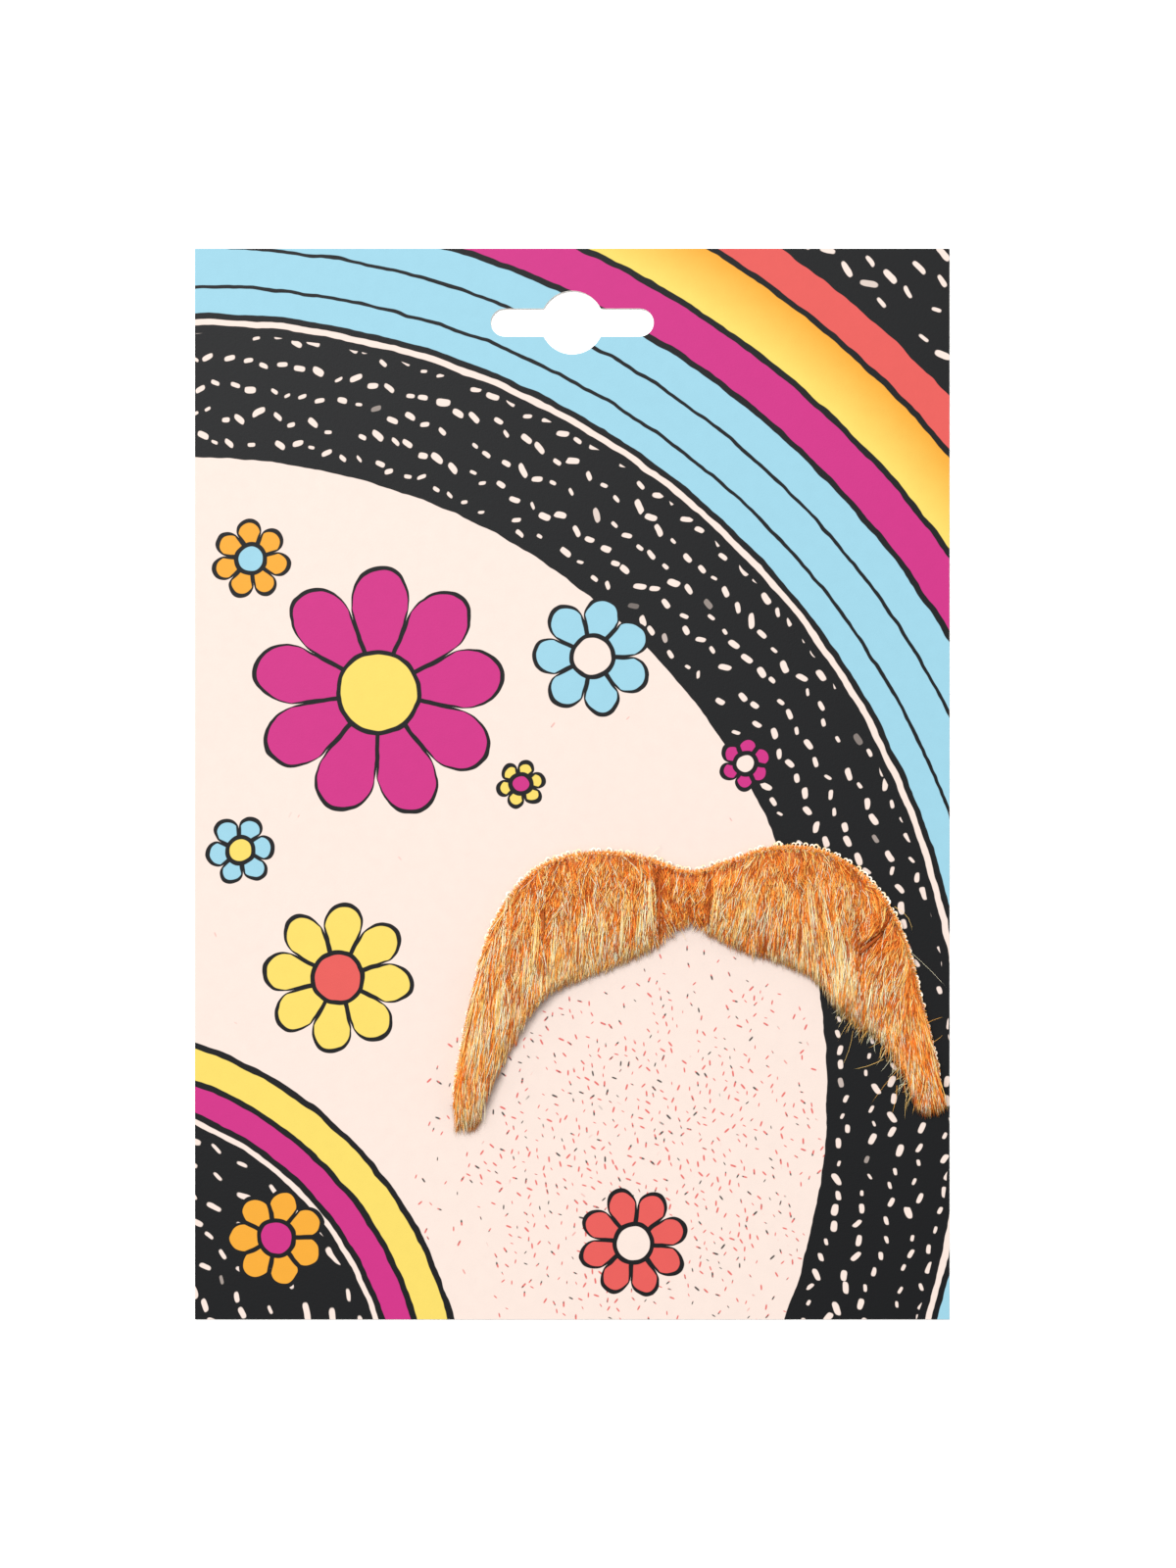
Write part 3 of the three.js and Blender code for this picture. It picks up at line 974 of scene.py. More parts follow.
def trace(x, y, turn):
    """Where a hair from each root would run, step by step, if it were as long as the trace."""
    step = TRACE_REACH / TRACE_STEPS
    first = combing("lean", x, y)
    points = [(x, y)]
    for _ in range(TRACE_STEPS):
        here_x, here_y = points[-1]
        here = combing("lean", here_x, here_y)
        angle = np.radians(0.45 * first + 0.55 * here + turn)
        points.append((here_x + step * np.sin(angle), here_y - step * np.cos(angle)))
    return np.array(points).transpose(2, 0, 1)


def room(form, traces, limit):
    """How far along its trace each hair passes the hem."""
    out = form.at(form.outside, traces[..., 0], traces[..., 1])
    past = out > limit[:, None]
    past[:, :2] = False
    first = np.where(past.any(axis=1), past.argmax(axis=1), TRACE_STEPS)
    return first * (TRACE_REACH / TRACE_STEPS)


def along_trace(traces, reach):
    """The points at the hair's own shares of its reach."""
    place = reach[:, None] * HAIR_SHARES[None, :] / TRACE_REACH * TRACE_STEPS
    place = np.clip(place, 0, TRACE_STEPS - 1e-6)
    low = place.astype(int)
    share = (place - low)[..., None]
    rows = np.arange(len(traces))[:, None]
    return traces[rows, low] * (1 - share) + traces[rows, low + 1] * share


def with_heights(flat, z):
    """Paths as seen from above, with their heights."""
    return np.concatenate([flat, z[..., None]], axis=2)


def combed_hairs(form, settings):
    """The hairs of the whole moustache, sorted from its left arm to its right."""
    rng = np.random.default_rng(11)
    low = (form.xs[0], form.ys[0])
    high = (form.xs[-1], form.ys[-1])
    x, y = scattered(settings.spacing, low, high, rng)
    bare = np.where(form.at(form.lower_side, x, y) < 0.5, BARE_RIM, BARE_HEM)
    kept = form.at(form.past_cloth, x, y) < -bare
    x, y = x[kept], y[kept]
    groups = {}
    for name in GROUPS:
        centres = scattered(getattr(settings, name), low, high, rng)
        groups[name] = (*centres, nearest(x, y, *centres))

    def per(name, spread):
        centres_x, _, group = groups[name]
        return rng.normal(0, spread, len(centres_x))[group]

    many = len(x)
    lie = combing("lie", x, y)
    upright = 1 - lie
    kind = rng.uniform(0, 1, many)
    # Pale hairs on top: partly pale hair and partly painted highlight.
    straw_and_highlight = kind < STRAW_AND_HIGHLIGHT["share"] * lie
    # Painted shade: some hairs are coloured dark to stand for the gaps between hairs.
    shadow_hairs = kind > 1 - GAP_SHADOW["share"]
    turn = rng.normal(0, 1, many) * (HAIR["lean"] + HAIR["upright"] * upright)
    turn = turn + per("lock", GROUPS["lock"]["lean"])
    for name in ("strand", "clump"):
        turn += per(name, 1.0) * (GROUPS[name]["lean"] + GROUPS[name]["upright"] * upright)
    traces = trace(x, y, turn)
    lower = form.at(form.lower_side, traces[:, -1, 0], traces[:, -1, 1])
    limit = rng.normal(0, settings.ragged, many).clip(*HEM_RAGGED) * (0.3 + 0.7 * lower)
    free = room(form, traces, limit)
    longer = np.where(straw_and_highlight, STRAW_AND_HIGHLIGHT["length"], np.where(shadow_hairs, GAP_SHADOW["length"], 1))
    own = settings.length * lie**1.8 * rng.uniform(0.65, 1.2, many) * longer
    reach = np.minimum(own, free)
    long_enough = reach > SHORTEST
    flat = along_trace(traces, reach)
    way = traces[:, 4] - traces[:, 0]
    way /= np.linalg.norm(way, axis=1)[:, None]
    side = np.stack([way[:, 1], -way[:, 0]], axis=1)
    for name, group in groups.items():
        aside = gathered(x, y, side, group, GROUPS[name]["gather"])
        flat += side[:, None, :] * aside[..., None]
    flat += side[:, None, :] * waved(many, SWAY * (1 + upright), rng)[..., None]
    outer = form.top(flat[..., 0], flat[..., 1])
    inner = form.under(flat[..., 0], flat[..., 1], settings.depth * (1 + upright[:, None]))
    height = rng.uniform(0.5, 0.8, many)
    height = height + per("strand", GROUPS["strand"]["height"])
    height = height + per("clump", GROUPS["clump"]["height"])
    height = np.where(straw_and_highlight, STRAW_AND_HIGHLIGHT["height"], np.where(shadow_hairs, GAP_SHADOW["height"], height))
    height = height.clip(0.1, 1.25)
    rise = 1 - (1 - HAIR_SHARES[None, :]) ** (1 + lie[:, None])
    z = inner + (outer - inner) * height[:, None] * rise
    z[:, 0] -= ROOT_DEPTH
    paths = with_heights(flat, z)
    # Painted shadow in the partings: hairs that run along one are coloured darker below.
    fall = partings_fall(flat[..., 0], flat[..., 1]).mean(axis=1)
    parting_shadow = PARTING_SHADE["strength"] * fall / PARTING_SHADE["depth"] - PARTING_SHADE["least"]
    hem = 1 - free / TRACE_REACH
    # Hairs near the hem are coloured paler, partly painted light.
    shade = combing("shade", x, y) + HEM_PALER * hem + per("clump", GROUPS["clump"]["shade"])
    shade += per("strand", GROUPS["strand"]["shade"]) + rng.normal(0, HAIR["shade"], many) + 0.05
    # Painted shade: hairs in the partings, and hairs that lie low, are coloured darker.
    shade -= PARTING_SHADE["shades"] * parting_shadow.clip(0, 1) + LOW_HAIR_SHADE * (height < 0.5)
    shade = np.where(straw_and_highlight, STRAW_AND_HIGHLIGHT["shade"], np.where(shadow_hairs, GAP_SHADOW["shade"], shade.clip(0, 6)))
    shade = np.clip(np.round(shade), 0, SHADES - 1)
    tone = 0.5 + rng.normal(0, HAIR["tone"], many) + per("strand", GROUPS["strand"]["tone"])
    tone = tone.clip(0, 1)
    thickness = settings.thickness * rng.uniform(0.7, 1.1, many)
    thickness = thickness * np.where(straw_and_highlight, STRAW_AND_HIGHLIGHT["thickness"], 1)
    hairs = Hairs(paths, thickness, shade, tone)
    order = np.argsort(x, kind="stable")
    return hairs.some(order[long_enough[order]])


def rim_hairs(form, settings):
    """The short hairs that stand out along the cloth's upper and outer edge."""
    rng = np.random.default_rng(23)
    low = (form.xs[0], form.ys[0])
    high = (form.xs[-1], form.ys[-1])
    x, y = scattered(RIM_HAIR["spacing"], low, high, rng)
    past = form.at(form.past_cloth, x, y)
    kept = (past > RIM_HAIR["inner"]) & (past < RIM_HAIR["outer"])
    kept &= form.at(form.lower_side, x, y) < 0.5
    x, y, past = x[kept], y[kept], past[kept]
    many = len(x)
    up, right = np.gradient(form.past_cloth)
    angle = np.arctan2(form.at(up, x, y), form.at(right, x, y))
    angle = angle + np.radians(rng.normal(0, RIM_HAIR["splay"], many))
    longest = rng.uniform(*RIM_HAIR["reach"], many) * MM
    reach = np.minimum(longest, rng.uniform(*RIM_HAIR["past_edge"], many) * MM - past)
    ahead = HAIR_SHARES[None, :] * reach[:, None]
    flat_x = x[:, None] + np.cos(angle)[:, None] * ahead
    flat_y = y[:, None] + np.sin(angle)[:, None] * ahead
    tall = rng.uniform(*RIM_HAIR["height"], many)[:, None] * MM
    z = form.cloth_top - RIM_HAIR["sunk"] + tall * HAIR_SHARES[None, :] ** 0.7
    shade = rng.normal(*RIM_HAIR["shade"], many).round().clip(0, SHADES - 1)
    thickness = settings.thickness * rng.uniform(*RIM_HAIR["thickness"], many)
    paths = np.stack([flat_x, flat_y, z], axis=2)
    hairs = Hairs(paths, thickness, shade, rng.uniform(*SHORT_TONES, many))
    return hairs.and_more(rim_tufts(form, settings, rng))


def rim_tufts(form, settings, rng):
    """The small tufts that stick out between the loops of the cut edge."""
    spacing = bpy.context.scene.moustache_cloth.loop_spacing
    places = np.repeat(np.array(rim_places(form, spacing)), TUFT_HAIRS, axis=0)
    many = len(places)
    angle = places[:, 2] + np.radians(rng.normal(0, TUFT["splay"], many))
    reach = rng.uniform(*TUFT["reach"], many) * MM
    start = places[:, :2] + rng.normal(0, TUFT["scatter"], (many, 2))
    start -= np.stack([np.cos(places[:, 2]), np.sin(places[:, 2])], axis=1) * TUFT["back"]
    end = start + np.stack([np.cos(angle), np.sin(angle)], axis=1) * reach[:, None]
    flat = bowed(start, end, rng.normal(0, TUFT["bend"], many))
    tall = rng.uniform(*TUFT["height"], many)[:, None] * MM
    z = form.cloth_top - TUFT["sunk"] + tall * np.sin(HAIR_SHARES * 2.4)[None, :]
    shade = rng.normal(*TUFT["shade"], many).round().clip(0, SHADES - 1)
    paths = with_heights(flat, z)
    thickness = settings.thickness * rng.uniform(*TUFT["thickness"], many)
    return Hairs(paths, thickness, shade, rng.uniform(*SHORT_TONES, many))


def stray_hairs(form, settings):
    """The single hairs that stick out past the others, as listed, and a fringe on the right arm."""
    rng = np.random.default_rng(37)
    strays = [(np.array(s["from"]) * MM, np.array(s["to"]) * MM, s["bend"] * MM) for s in STRAYS]
    x, y = scattered(0.5 * MM, (FRINGE["left"], form.ys[0]), (form.xs[-1], FRINGE["top"]), rng)
    out = form.at(form.outside, x, y)
    near = (out > FRINGE["inner"]) & (out < FRINGE["outer"]) & (y > FRINGE["bottom"])
    near &= form.at(form.lower_side, x, y) > 0.5
    chosen = rng.permutation(np.nonzero(near)[0])[: FRINGE["count"]]
    for px, py in zip(x[chosen], y[chosen]):
        angle = math.radians(rng.normal(FRINGE["lean"], FRINGE["splay"]))
        reach = rng.uniform(*FRINGE["reach"]) * MM
        start = np.array((px, py))
        end = start + reach * np.array((math.sin(angle), -math.cos(angle)))
        strays.append((start, end, rng.normal(0, FRINGE["bend"]) * MM))
    start, end, bend = (np.array(column) for column in zip(*strays))
    flat = bowed(start, end, bend)
    base = form.top(start[:, 0], start[:, 1]) - 0.5 * MM
    tip = form.card_top + rng.uniform(0.3, 1.6, len(start)) * MM
    z = base[:, None] + (tip - base)[:, None] * HAIR_SHARES[None, :]
    paths = with_heights(flat, z)
    thickness = settings.thickness * rng.uniform(0.3, 0.55, len(start))
    shade = rng.integers(4, 8, len(start)).astype(float)
    return Hairs(paths, thickness, shade, rng.uniform(0.3, 0.8, len(start)))


def laid_strands(form, settings, strands, loose, lift, shades):
    """Hairs laid along the listed lines. Loose is how far they stray, and lift how high they lie."""
    rng = np.random.default_rng(41)
    lines = np.repeat(np.array([[s["from"], s["to"]] for s in strands]) * MM, STRAND_HAIRS, axis=0)
    many = len(lines)
    run = lines[:, 1] - lines[:, 0]
    run /= np.linalg.norm(run, axis=1)[:, None]
    side = np.stack([run[:, 1], -run[:, 0]], axis=1)
    start, end = (
        place + side * rng.normal(0, loose, (many, 1)) + run * rng.uniform(-5, 5, (many, 1)) * loose
        for place in (lines[:, 0], lines[:, 1])
    )
    flat = bowed(start, end, rng.normal(0, loose * 1.4, many))
    own = rng.uniform(-0.15, 0.1, many)[:, None] * MM
    z = form.top(flat[..., 0], flat[..., 1]) - STRAND_DEPTHS[None, :] + own + lift
    paths = with_heights(flat, z)
    thickness = settings.thickness * rng.uniform(0.75, 1.05, many)
    shade = rng.integers(*shades, many).astype(float)
    return Hairs(paths, thickness, shade, rng.uniform(0.5, 1.0, many))


def bowed(start, end, bend):
    """The hairs' paths from start to end as seen from above, each bent aside by its own bend."""
    run = end - start
    side = np.stack([-run[:, 1], run[:, 0]], axis=1) / np.linalg.norm(run, axis=1)[:, None]
    bow = 4 * HAIR_SHARES * (1 - HAIR_SHARES)
    flat = start[:, None, :] + run[:, None, :] * HAIR_SHARES[None, :, None]
    return flat + side[:, None, :] * (bend[:, None] * bow[None, :])[..., None]


def gathered(x, y, side, groups, strength):
    """How far aside each hair is drawn along its length towards the middle of its group."""
    centres_x, centres_y, group = groups
    off = (centres_x[group] - x) * side[:, 0] + (centres_y[group] - y) * side[:, 1]
    return off[:, None] * strength * HAIR_SHARES[None, :] ** 1.2


def waved(many, size, rng):
    """How far aside each hair sways along its length."""
    size = (rng.normal(0, 1, many) * size)[:, None]
    start = rng.uniform(0, 2 * math.pi, many)[:, None]
    turns = rng.uniform(0.5, 1.3, many)[:, None]
    wave = np.sin(start + 2 * math.pi * turns * HAIR_SHARES[None, :]) - np.sin(start)
    return size * wave


def hair_mesh(name, hairs):
    """One mesh of closed three-sided tapering tubes, with each hair's shading on the hair map."""
    many, rings, _ = hairs.paths.shape
    paths = hairs.paths
    ahead = np.gradient(paths, axis=1)
    ahead /= np.linalg.norm(ahead, axis=2)[..., None]
    across = np.cross(ahead, (0.0, 0.0, 1.0))
    across /= np.maximum(np.linalg.norm(across, axis=2), 1e-9)[..., None]
    above = np.cross(across, ahead)
    shares = np.linspace(0, 1, rings)
    taper = 0.5 * hairs.thickness[:, None] * (1 - 0.55 * shares[None, :] ** 2)
    corners = []
    roll = (hairs.tone - 0.5) * ROLL
    for corner in range(SIDES):
        angle = (2 * math.pi * corner / SIDES - math.pi / 2 + roll)[:, None, None]
        out = across * np.cos(angle) + above * np.sin(angle)
        corners.append(paths + out * taper[..., None])
    body = np.stack(corners, axis=2)[:, : rings - 1].reshape(many, (rings - 1) * SIDES, 3)
    points = np.concatenate([body, paths[:, -1:]], axis=1)
    faces, spots = hair_faces(rings)
    each = points.shape[1]
    loops = (faces["loops"][None, :] + each * np.arange(many)[:, None]).ravel()
    starts = (faces["starts"][None, :] + len(faces["loops"]) * np.arange(many)[:, None]).ravel()
    tone = np.round(hairs.tone * (TONES - 1))
    u = (tone[:, None] + spots[None, :, 0]) / TONES
    v = (hairs.shade[:, None] + spots[None, :, 1]) / SHADES
    mesh = bpy.data.meshes.new(name)
    mesh.vertices.add(many * each)
    mesh.vertices.foreach_set("co", points.astype(np.float32).ravel())
    mesh.loops.add(len(loops))
    mesh.loops.foreach_set("vertex_index", loops.astype(np.int32))
    mesh.polygons.add(len(starts))
    mesh.polygons.foreach_set("loop_start", starts.astype(np.int32))
    hair_map = mesh.uv_layers.new(name=HAIR_MAP)
    hair_map.data.foreach_set("uv", np.stack([u, v], axis=2).astype(np.float32).ravel())
    mesh.update(calc_edges=True)
    return mesh


def hair_faces(rings):
    """The corners of one hair's faces, where each face starts, and each corner's spot on the map."""
    shares = 0.03 + 0.94 * np.linspace(0, 1, rings)
    tip = (rings - 1) * SIDES
    loops = []
    starts = []
    spots = []

    def add(corners, places):
        starts.append(len(loops))
        loops.extend(corners)
        spots.extend((0.25 + 0.5 * side / SIDES, shares[ring]) for side, ring in places)

    for ring in range(rings - 2):
        for side in range(SIDES):
            low = ring * SIDES + side
            beside = ring * SIDES + (side + 1) % SIDES
            add(
                [low, beside, beside + SIDES, low + SIDES],
                [(side, ring), (side + 1, ring), (side + 1, ring + 1), (side, ring + 1)],
            )
    last = rings - 2
    for side in range(SIDES):
        low = last * SIDES + side
        beside = last * SIDES + (side + 1) % SIDES
        add([low, beside, tip], [(side, last), (side + 1, last), (side, rings - 1)])
    add([2, 1, 0], [(0, 0), (1, 0), (0, 1)])
    faces = {"loops": np.array(loops), "starts": np.array(starts)}
    return faces, np.array(spots)


def hair_object(name, hairs, material, replaced):
    piece = bpy.data.objects.new(name, hair_mesh(name, hairs))
    bpy.context.scene.collection.objects.link(piece)
    piece.data.materials.append(material)
    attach(piece, "root")
    if replaced:
        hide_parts(replaced)
    return piece


# The operators, one for each piece or group of like pieces.

# One cut loop: its radius and its yarn's as shares of its size, and how the loops differ.
LOOP = {
    "radius": 0.35,
    "yarn": 0.13,
    "missing": 0.18,
    "size": (0.6, 1.25),
    "outwards": (0.9, 1.3),
    "turn": 0.2,
    "tilt": 0.25,
    "slide": 0.2,
    "sunk": 0.1 * MM,
}
# How far past the cloth's edge the loops sit at its sides and along its top.
RIM_SHIFTS = (-0.35 * MM, 0.18 * MM)
PILE = {
    "pitch": 0.6 * MM,
    "inside_hem": 1.4 * MM,
    "past_cloth": 1.3 * MM,
    "over_cloth": 0.02 * MM,
    "smooth_angle": math.radians(60),
}
FUR_PIECES = ("fur_left_arm", "fur_left_wing", "fur_centre", "fur_right_wing", "fur_right_arm")
# The pale strands are partly pale hair and partly painted highlight.
PALE = {"loose": 0.3 * MM, "lift": 0.0, "shades": (5, 8)}
# The dark strands are painted shadow along the partings and the crease.
SHADED = {"loose": 0.11 * MM, "lift": 0.22 * MM, "shades": (0, 1)}
FLOOR = {"size": 6.0, "drop": 0.3 * MM}
KEY_LIGHT = {"place": (-0.62, 0.86, 2.72), "size": 1.3}
SENSOR = 36.0


def deselect():
    bpy.ops.object.select_all(action="DESELECT")


def paint(node, material):
    """Gives a carried-over solid its finish."""
    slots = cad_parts[node].data.materials
    slots.clear()
    slots.append(material)


class MOUSTACHE_OT_dress_card(bpy.types.Operator):
    """Print the display card"""

    bl_idname = "moustache.dress_card"
    bl_label = "Dress the Card"

    def execute(self, context):
        paint("display_card", print_finish(context.scene.moustache_print))
        return {"FINISHED"}


class MOUSTACHE_OT_dress_cloth(bpy.types.Operator):
    """Finish the backing cloth and the adhesive under it"""

    bl_idname = "moustache.dress_cloth"
    bl_label = "Dress the Cloth"

    def execute(self, context):
        settings = context.scene.moustache_cloth
        paint("backing_cloth", knit_finish(settings))
        paint("adhesive_pad", glue_finish(settings))
        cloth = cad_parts["backing_cloth"]
        enclosed(cloth.data)
        return {"FINISHED"}


class MOUSTACHE_OT_add_edge_loops(bpy.types.Operator):
    """Add the row of cut loops along the cloth's upper and outer edge"""

    bl_idname = "moustache.add_edge_loops"
    bl_label = "Add the Edge Loops"

    def execute(self, context):
        settings = context.scene.moustache_cloth
        form = fur_form()
        deselect()
        bpy.ops.mesh.primitive_torus_add(
            major_segments=12,
            minor_segments=6,
            major_radius=settings.loop_size * LOOP["radius"],
            minor_radius=settings.loop_size * LOOP["yarn"],
        )
        loops = context.object
        loops.name = "edge_loops"
        pattern = mesh_points(loops.data)
        places = rim_places(form, settings.loop_spacing)
        loops.data = repeated(loops.data, "edge_loops", self.laid(pattern, places, form))
        bpy.ops.object.shade_smooth()
        loops.data.materials.append(loop_finish())
        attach(loops, "root")
        return {"FINISHED"}

    @staticmethod
    def laid(pattern, places, form):
        """The loop's points at each place, turned to face out, with small differences in size."""
        rng = np.random.default_rng(5)
        for x, y, angle in places:
            if rng.uniform() < LOOP["missing"]:
                continue
            size = rng.uniform(*LOOP["size"])
            slide = rng.normal(0, LOOP["slide"]) * MM
            turn = angle + rng.normal(0, LOOP["turn"])
            outwards = pattern[:, 0] * size * rng.uniform(*LOOP["outwards"])
            wide = pattern[:, 1] * size + slide
            right = x + outwards * math.cos(turn) - wide * math.sin(turn)
            up = y + outwards * math.sin(turn) + wide * math.cos(turn)
            tilted = (wide - slide) * rng.normal(0, LOOP["tilt"])
            height = form.cloth_top - LOOP["sunk"] + pattern[:, 2] + tilted
            yield np.stack([right, up, height], axis=1)


def rim_places(form, spacing):
    """Points at even steps along the cloth's upper and outer edge, with the way out from it.

    They lie a little inside its sides and a little outside its top.
    """
    up, right = np.gradient(form.past_cloth)
    places = []
    for start, end in outline_of(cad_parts["backing_cloth"].data):
        length = np.linalg.norm(end - start)
        many = round(length / spacing)
        for share in (np.arange(many) + 0.5) / max(many, 1):
            x, y = start + (end - start) * share
            angle = math.atan2(form.at(up, x, y), form.at(right, x, y))
            if form.at(form.lower_side, x, y) < 0.5:
                shift = RIM_SHIFTS[0] + (RIM_SHIFTS[1] - RIM_SHIFTS[0]) * max(math.sin(angle), 0)
                places.append((x + math.cos(angle) * shift, y + math.sin(angle) * shift, angle))
    return places


def repeated(mesh, name, copies):
    """One mesh made of a copy of a mesh for each set of points."""
    copies = list(copies)
    faces = [list(p.vertices) for p in mesh.polygons]
    each = len(mesh.vertices)
    joined = bpy.data.meshes.new(name)
    moved = [[v + each * turn for v in face] for turn in range(len(copies)) for face in faces]
    joined.from_pydata(np.concatenate(copies).tolist(), [], moved)
    return joined


class MOUSTACHE_OT_add_matted_pile(bpy.types.Operator):
    """Add the matted pile that the loose hair grows out of"""

    bl_idname = "moustache.add_matted_pile"
    bl_label = "Add the Matted Pile"

    def execute(self, context):
        settings = context.scene.moustache_hair
        form = fur_form()
        wide = form.xs[-1] - form.xs[0]
        high = form.ys[-1] - form.ys[0]
        deselect()
        bpy.ops.mesh.primitive_grid_add(
            x_subdivisions=int(wide / PILE["pitch"]),
            y_subdivisions=int(high / PILE["pitch"]),
            size=1,
        )
        pile = context.object
        pile.name = "matted_pile"
        points = mesh_points(pile.data)
        points[:, 0] = points[:, 0] * wide + (form.xs[0] + form.xs[-1]) / 2
        points[:, 1] = points[:, 1] * high + (form.ys[0] + form.ys[-1]) / 2
        bare = form.at(form.outside, points[:, 0], points[:, 1]) > -PILE["inside_hem"]
        bare |= form.at(form.past_cloth, points[:, 0], points[:, 1]) > PILE["past_cloth"]
        points[:, 2] = form.under(points[:, 0], points[:, 1], settings.depth)
        set_points(pile.data, points)
        choose(pile.data, bare)
        bpy.ops.object.mode_set(mode="EDIT")
        bpy.ops.mesh.delete(type="VERT")
        bpy.ops.mesh.select_all(action="SELECT")
        bpy.ops.mesh.extrude_region_move()
        bpy.ops.object.mode_set(mode="OBJECT")
        points = mesh_points(pile.data)
        lower = np.zeros(len(pile.data.vertices), bool)
        pile.data.vertices.foreach_get("select", lower)
        points[lower, 2] = form.cloth_top + PILE["over_cloth"]
        set_points(pile.data, points)
        bpy.ops.object.mode_set(mode="EDIT")
        bpy.ops.mesh.select_all(action="SELECT")
        bpy.ops.mesh.normals_make_consistent(inside=False)
        bpy.ops.object.mode_set(mode="OBJECT")
        bpy.ops.object.shade_smooth_by_angle(angle=PILE["smooth_angle"])
        pile.data.materials.append(matted_finish(settings))
        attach(pile, "root")
        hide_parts("fur_pile")
        return {"FINISHED"}


def mesh_points(mesh):
    points = np.zeros(len(mesh.vertices) * 3, np.float32)
    mesh.vertices.foreach_get("co", points)
    return points.reshape(-1, 3).astype(float)


def set_points(mesh, points):
    mesh.vertices.foreach_set("co", points.astype(np.float32).ravel())
    mesh.update()


def choose(mesh, chosen):
    """Selects some of a mesh's vertices, and the edges and faces that lie wholly among them."""
    mesh.vertices.foreach_set("select", chosen)
    edges = np.zeros(len(mesh.edges) * 2, np.int32)
    mesh.edges.foreach_get("vertices", edges)
    mesh.edges.foreach_set("select", chosen[edges.reshape(-1, 2)].all(axis=1))
    mesh.polygons.foreach_set("select", np.array([chosen[list(p.vertices)].all() for p in mesh.polygons]))


class MOUSTACHE_OT_comb_hair(bpy.types.Operator):
    """Add the combed hair, in one piece for each stretch of the moustache"""

    bl_idname = "moustache.comb_hair"
    bl_label = "Comb the Hair"

    def execute(self, context):
        hairs = combed_hairs(fur_form(), context.scene.moustache_hair)
        material = hair_finish()
        stretches = np.array_split(np.arange(len(hairs.tone)), len(FUR_PIECES))
        for name, stretch in zip(FUR_PIECES, stretches):
            hair_object(name, hairs.some(stretch), material, "fur_pile")
        return {"FINISHED"}


class MOUSTACHE_OT_add_short_hair(bpy.types.Operator):
    """Add the short hair along the rim and the strays that stick out"""

    bl_idname = "moustache.add_short_hair"
    bl_label = "Add Rim Hair and Strays"

    def execute(self, context):
        settings = context.scene.moustache_hair
        material = bpy.data.materials["ginger_hair"]
        hair_object("fur_rim", rim_hairs(fur_form(), settings), material, "fur_pile")
        pale = laid_strands(fur_form(), settings, PALE_STRANDS, **PALE)
        # Dark strands along the partings and the crease: painted shadow.
        shadow_hairs = laid_strands(fur_form(), settings, PARTING_SHADOWS, **SHADED)
        loose = pale.and_more(shadow_hairs).and_more(stray_hairs(fur_form(), settings))
        hair_object("fur_strays", loose, material, "fur_pile")
        return {"FINISHED"}


class MOUSTACHE_OT_set_stage(bpy.types.Operator):
    """Set the floor, the lights and the camera"""

    bl_idname = "moustache.set_stage"
    bl_label = "Set the Stage"

    def execute(self, context):
        settings = context.scene.moustache_stage
        deselect()
        bpy.ops.mesh.primitive_plane_add(size=FLOOR["size"], location=(0, 0, -FLOOR["drop"]))
        floor = context.object
        floor.name = "floor"
        finish = Finish("floor")
        point, *_ = finish.place()
        haze = finish.noise(point, 0.3)
        shade = finish.mix(haze * 0.02, tuple(settings.floor), colour(240, 240, 240))
        floor.data.materials.append(finish.surface({"Base Color": shade, "Roughness": 0.9}))
        floor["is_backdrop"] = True
        self.add_light("key", KEY_LIGHT["place"], KEY_LIGHT["size"], settings.key_power)
        world = bpy.data.worlds.new("even_light")
        world.use_nodes = True
        world.node_tree.nodes["Background"].inputs["Color"].default_value = (1.0, 1.0, 1.0, 1.0)
        world.node_tree.nodes["Background"].inputs["Strength"].default_value = settings.fill
        context.scene.world = world
        context.scene.view_settings.view_transform = "Standard"
        self.add_camera(context, settings)
        return {"FINISHED"}

    def add_light(self, name, place, size, power):
        bpy.ops.object.light_add(type="AREA", location=place)
        light = bpy.context.object
        light.name = name
        light.data.shape = "SQUARE"
        light.data.size = size
        light.data.energy = power
        light.rotation_euler = (-Vector(place)).to_track_quat("-Z", "Y").to_euler()

    def add_camera(self, context, settings):
        low, high = SOLID_BOX
        away = settings.view_height * settings.lens / SENSOR
        middle = (low + high) / 2
        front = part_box("display_card")[1].z
        bpy.ops.object.camera_add(location=(middle.x + settings.aside, middle.y, front + away))
        camera = context.object
        camera.name = "camera"
        camera.rotation_euler = (0, 0, 0)
        camera.data.sensor_width = SENSOR
        camera.data.lens = settings.lens
        camera.data.dof.use_dof = False
        camera.data.clip_start = away / 10
        camera.data.clip_end = away * 10
        context.scene.camera = camera


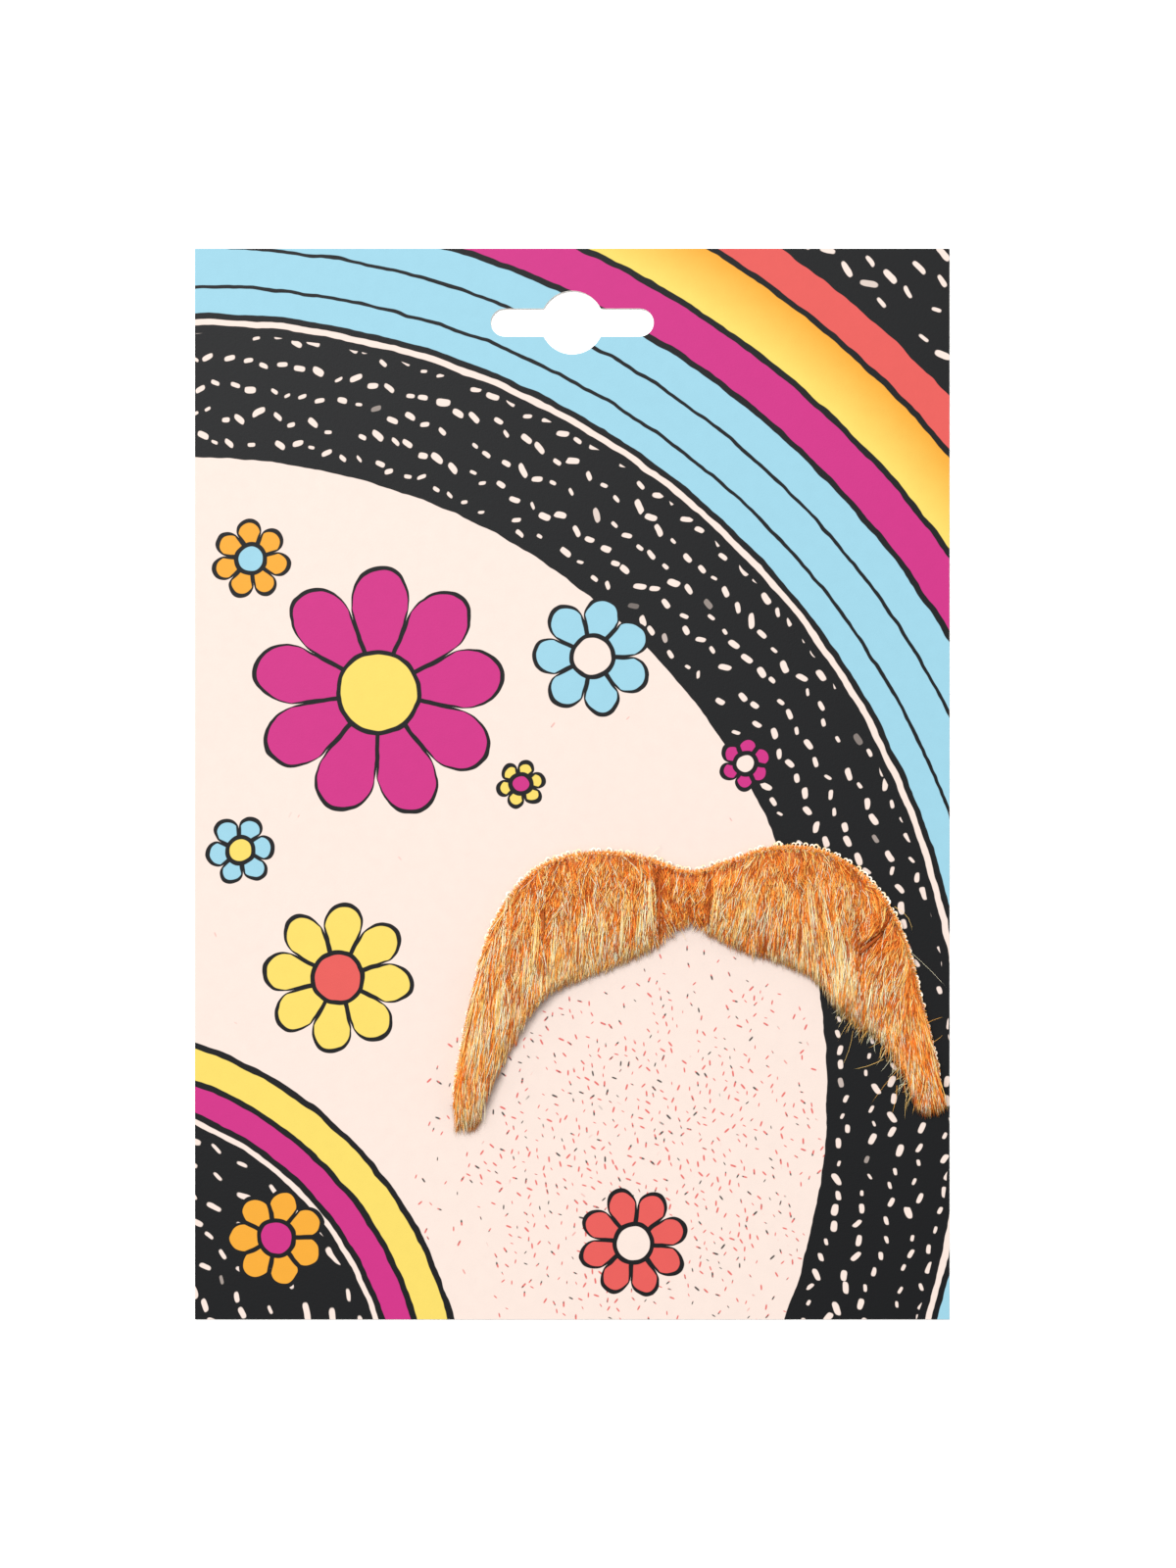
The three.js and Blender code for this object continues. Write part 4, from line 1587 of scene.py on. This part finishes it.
class MOUSTACHE_PT_dress(bpy.types.Panel):
    """The steps, in the order in which they are taken"""

    bl_idname = "MOUSTACHE_PT_dress"
    bl_label = "Moustache"
    bl_space_type = "VIEW_3D"
    bl_region_type = "UI"
    bl_category = "Moustache"

    def draw(self, context):
        for settings, operators in STEPS.items():
            box = self.layout.box()
            group = getattr(context.scene, settings)
            for name in group.__annotations__:
                box.prop(group, name)
            for operator in operators:
                box.operator(operator.bl_idname)


STEPS = {
    "moustache_print": [MOUSTACHE_OT_dress_card],
    "moustache_cloth": [MOUSTACHE_OT_dress_cloth, MOUSTACHE_OT_add_edge_loops],
    "moustache_hair": [MOUSTACHE_OT_add_matted_pile, MOUSTACHE_OT_comb_hair, MOUSTACHE_OT_add_short_hair],
    "moustache_stage": [MOUSTACHE_OT_set_stage],
}
SETTINGS = {
    "moustache_print": PrintSettings,
    "moustache_cloth": ClothSettings,
    "moustache_hair": HairSettings,
    "moustache_stage": StageSettings,
}


def register():
    for name, group in SETTINGS.items():
        bpy.utils.register_class(group)
        setattr(bpy.types.Scene, name, bpy.props.PointerProperty(type=group))
    for operators in STEPS.values():
        for operator in operators:
            bpy.utils.register_class(operator)
    bpy.utils.register_class(MOUSTACHE_PT_dress)


def unregister():
    bpy.utils.unregister_class(MOUSTACHE_PT_dress)
    for operators in STEPS.values():
        for operator in operators:
            bpy.utils.unregister_class(operator)
    for name, group in SETTINGS.items():
        delattr(bpy.types.Scene, name)
        bpy.utils.unregister_class(group)


def write_sizes():
    """Gathers the boxes of the solids and of the dressed model."""
    boxes = {"solids": SOLID_BOX, "dressed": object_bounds()}
    {name: [list(corner) for corner in box] for name, box in boxes.items()}


def main():
    register()
    bpy.ops.moustache.set_stage()
    bpy.ops.moustache.dress_card()
    bpy.ops.moustache.dress_cloth()
    bpy.ops.moustache.add_edge_loops()
    bpy.ops.moustache.add_matted_pile()
    bpy.ops.moustache.comb_hair()
    bpy.ops.moustache.add_short_hair()
    write_sizes()


if __name__ == "__main__":
    main()
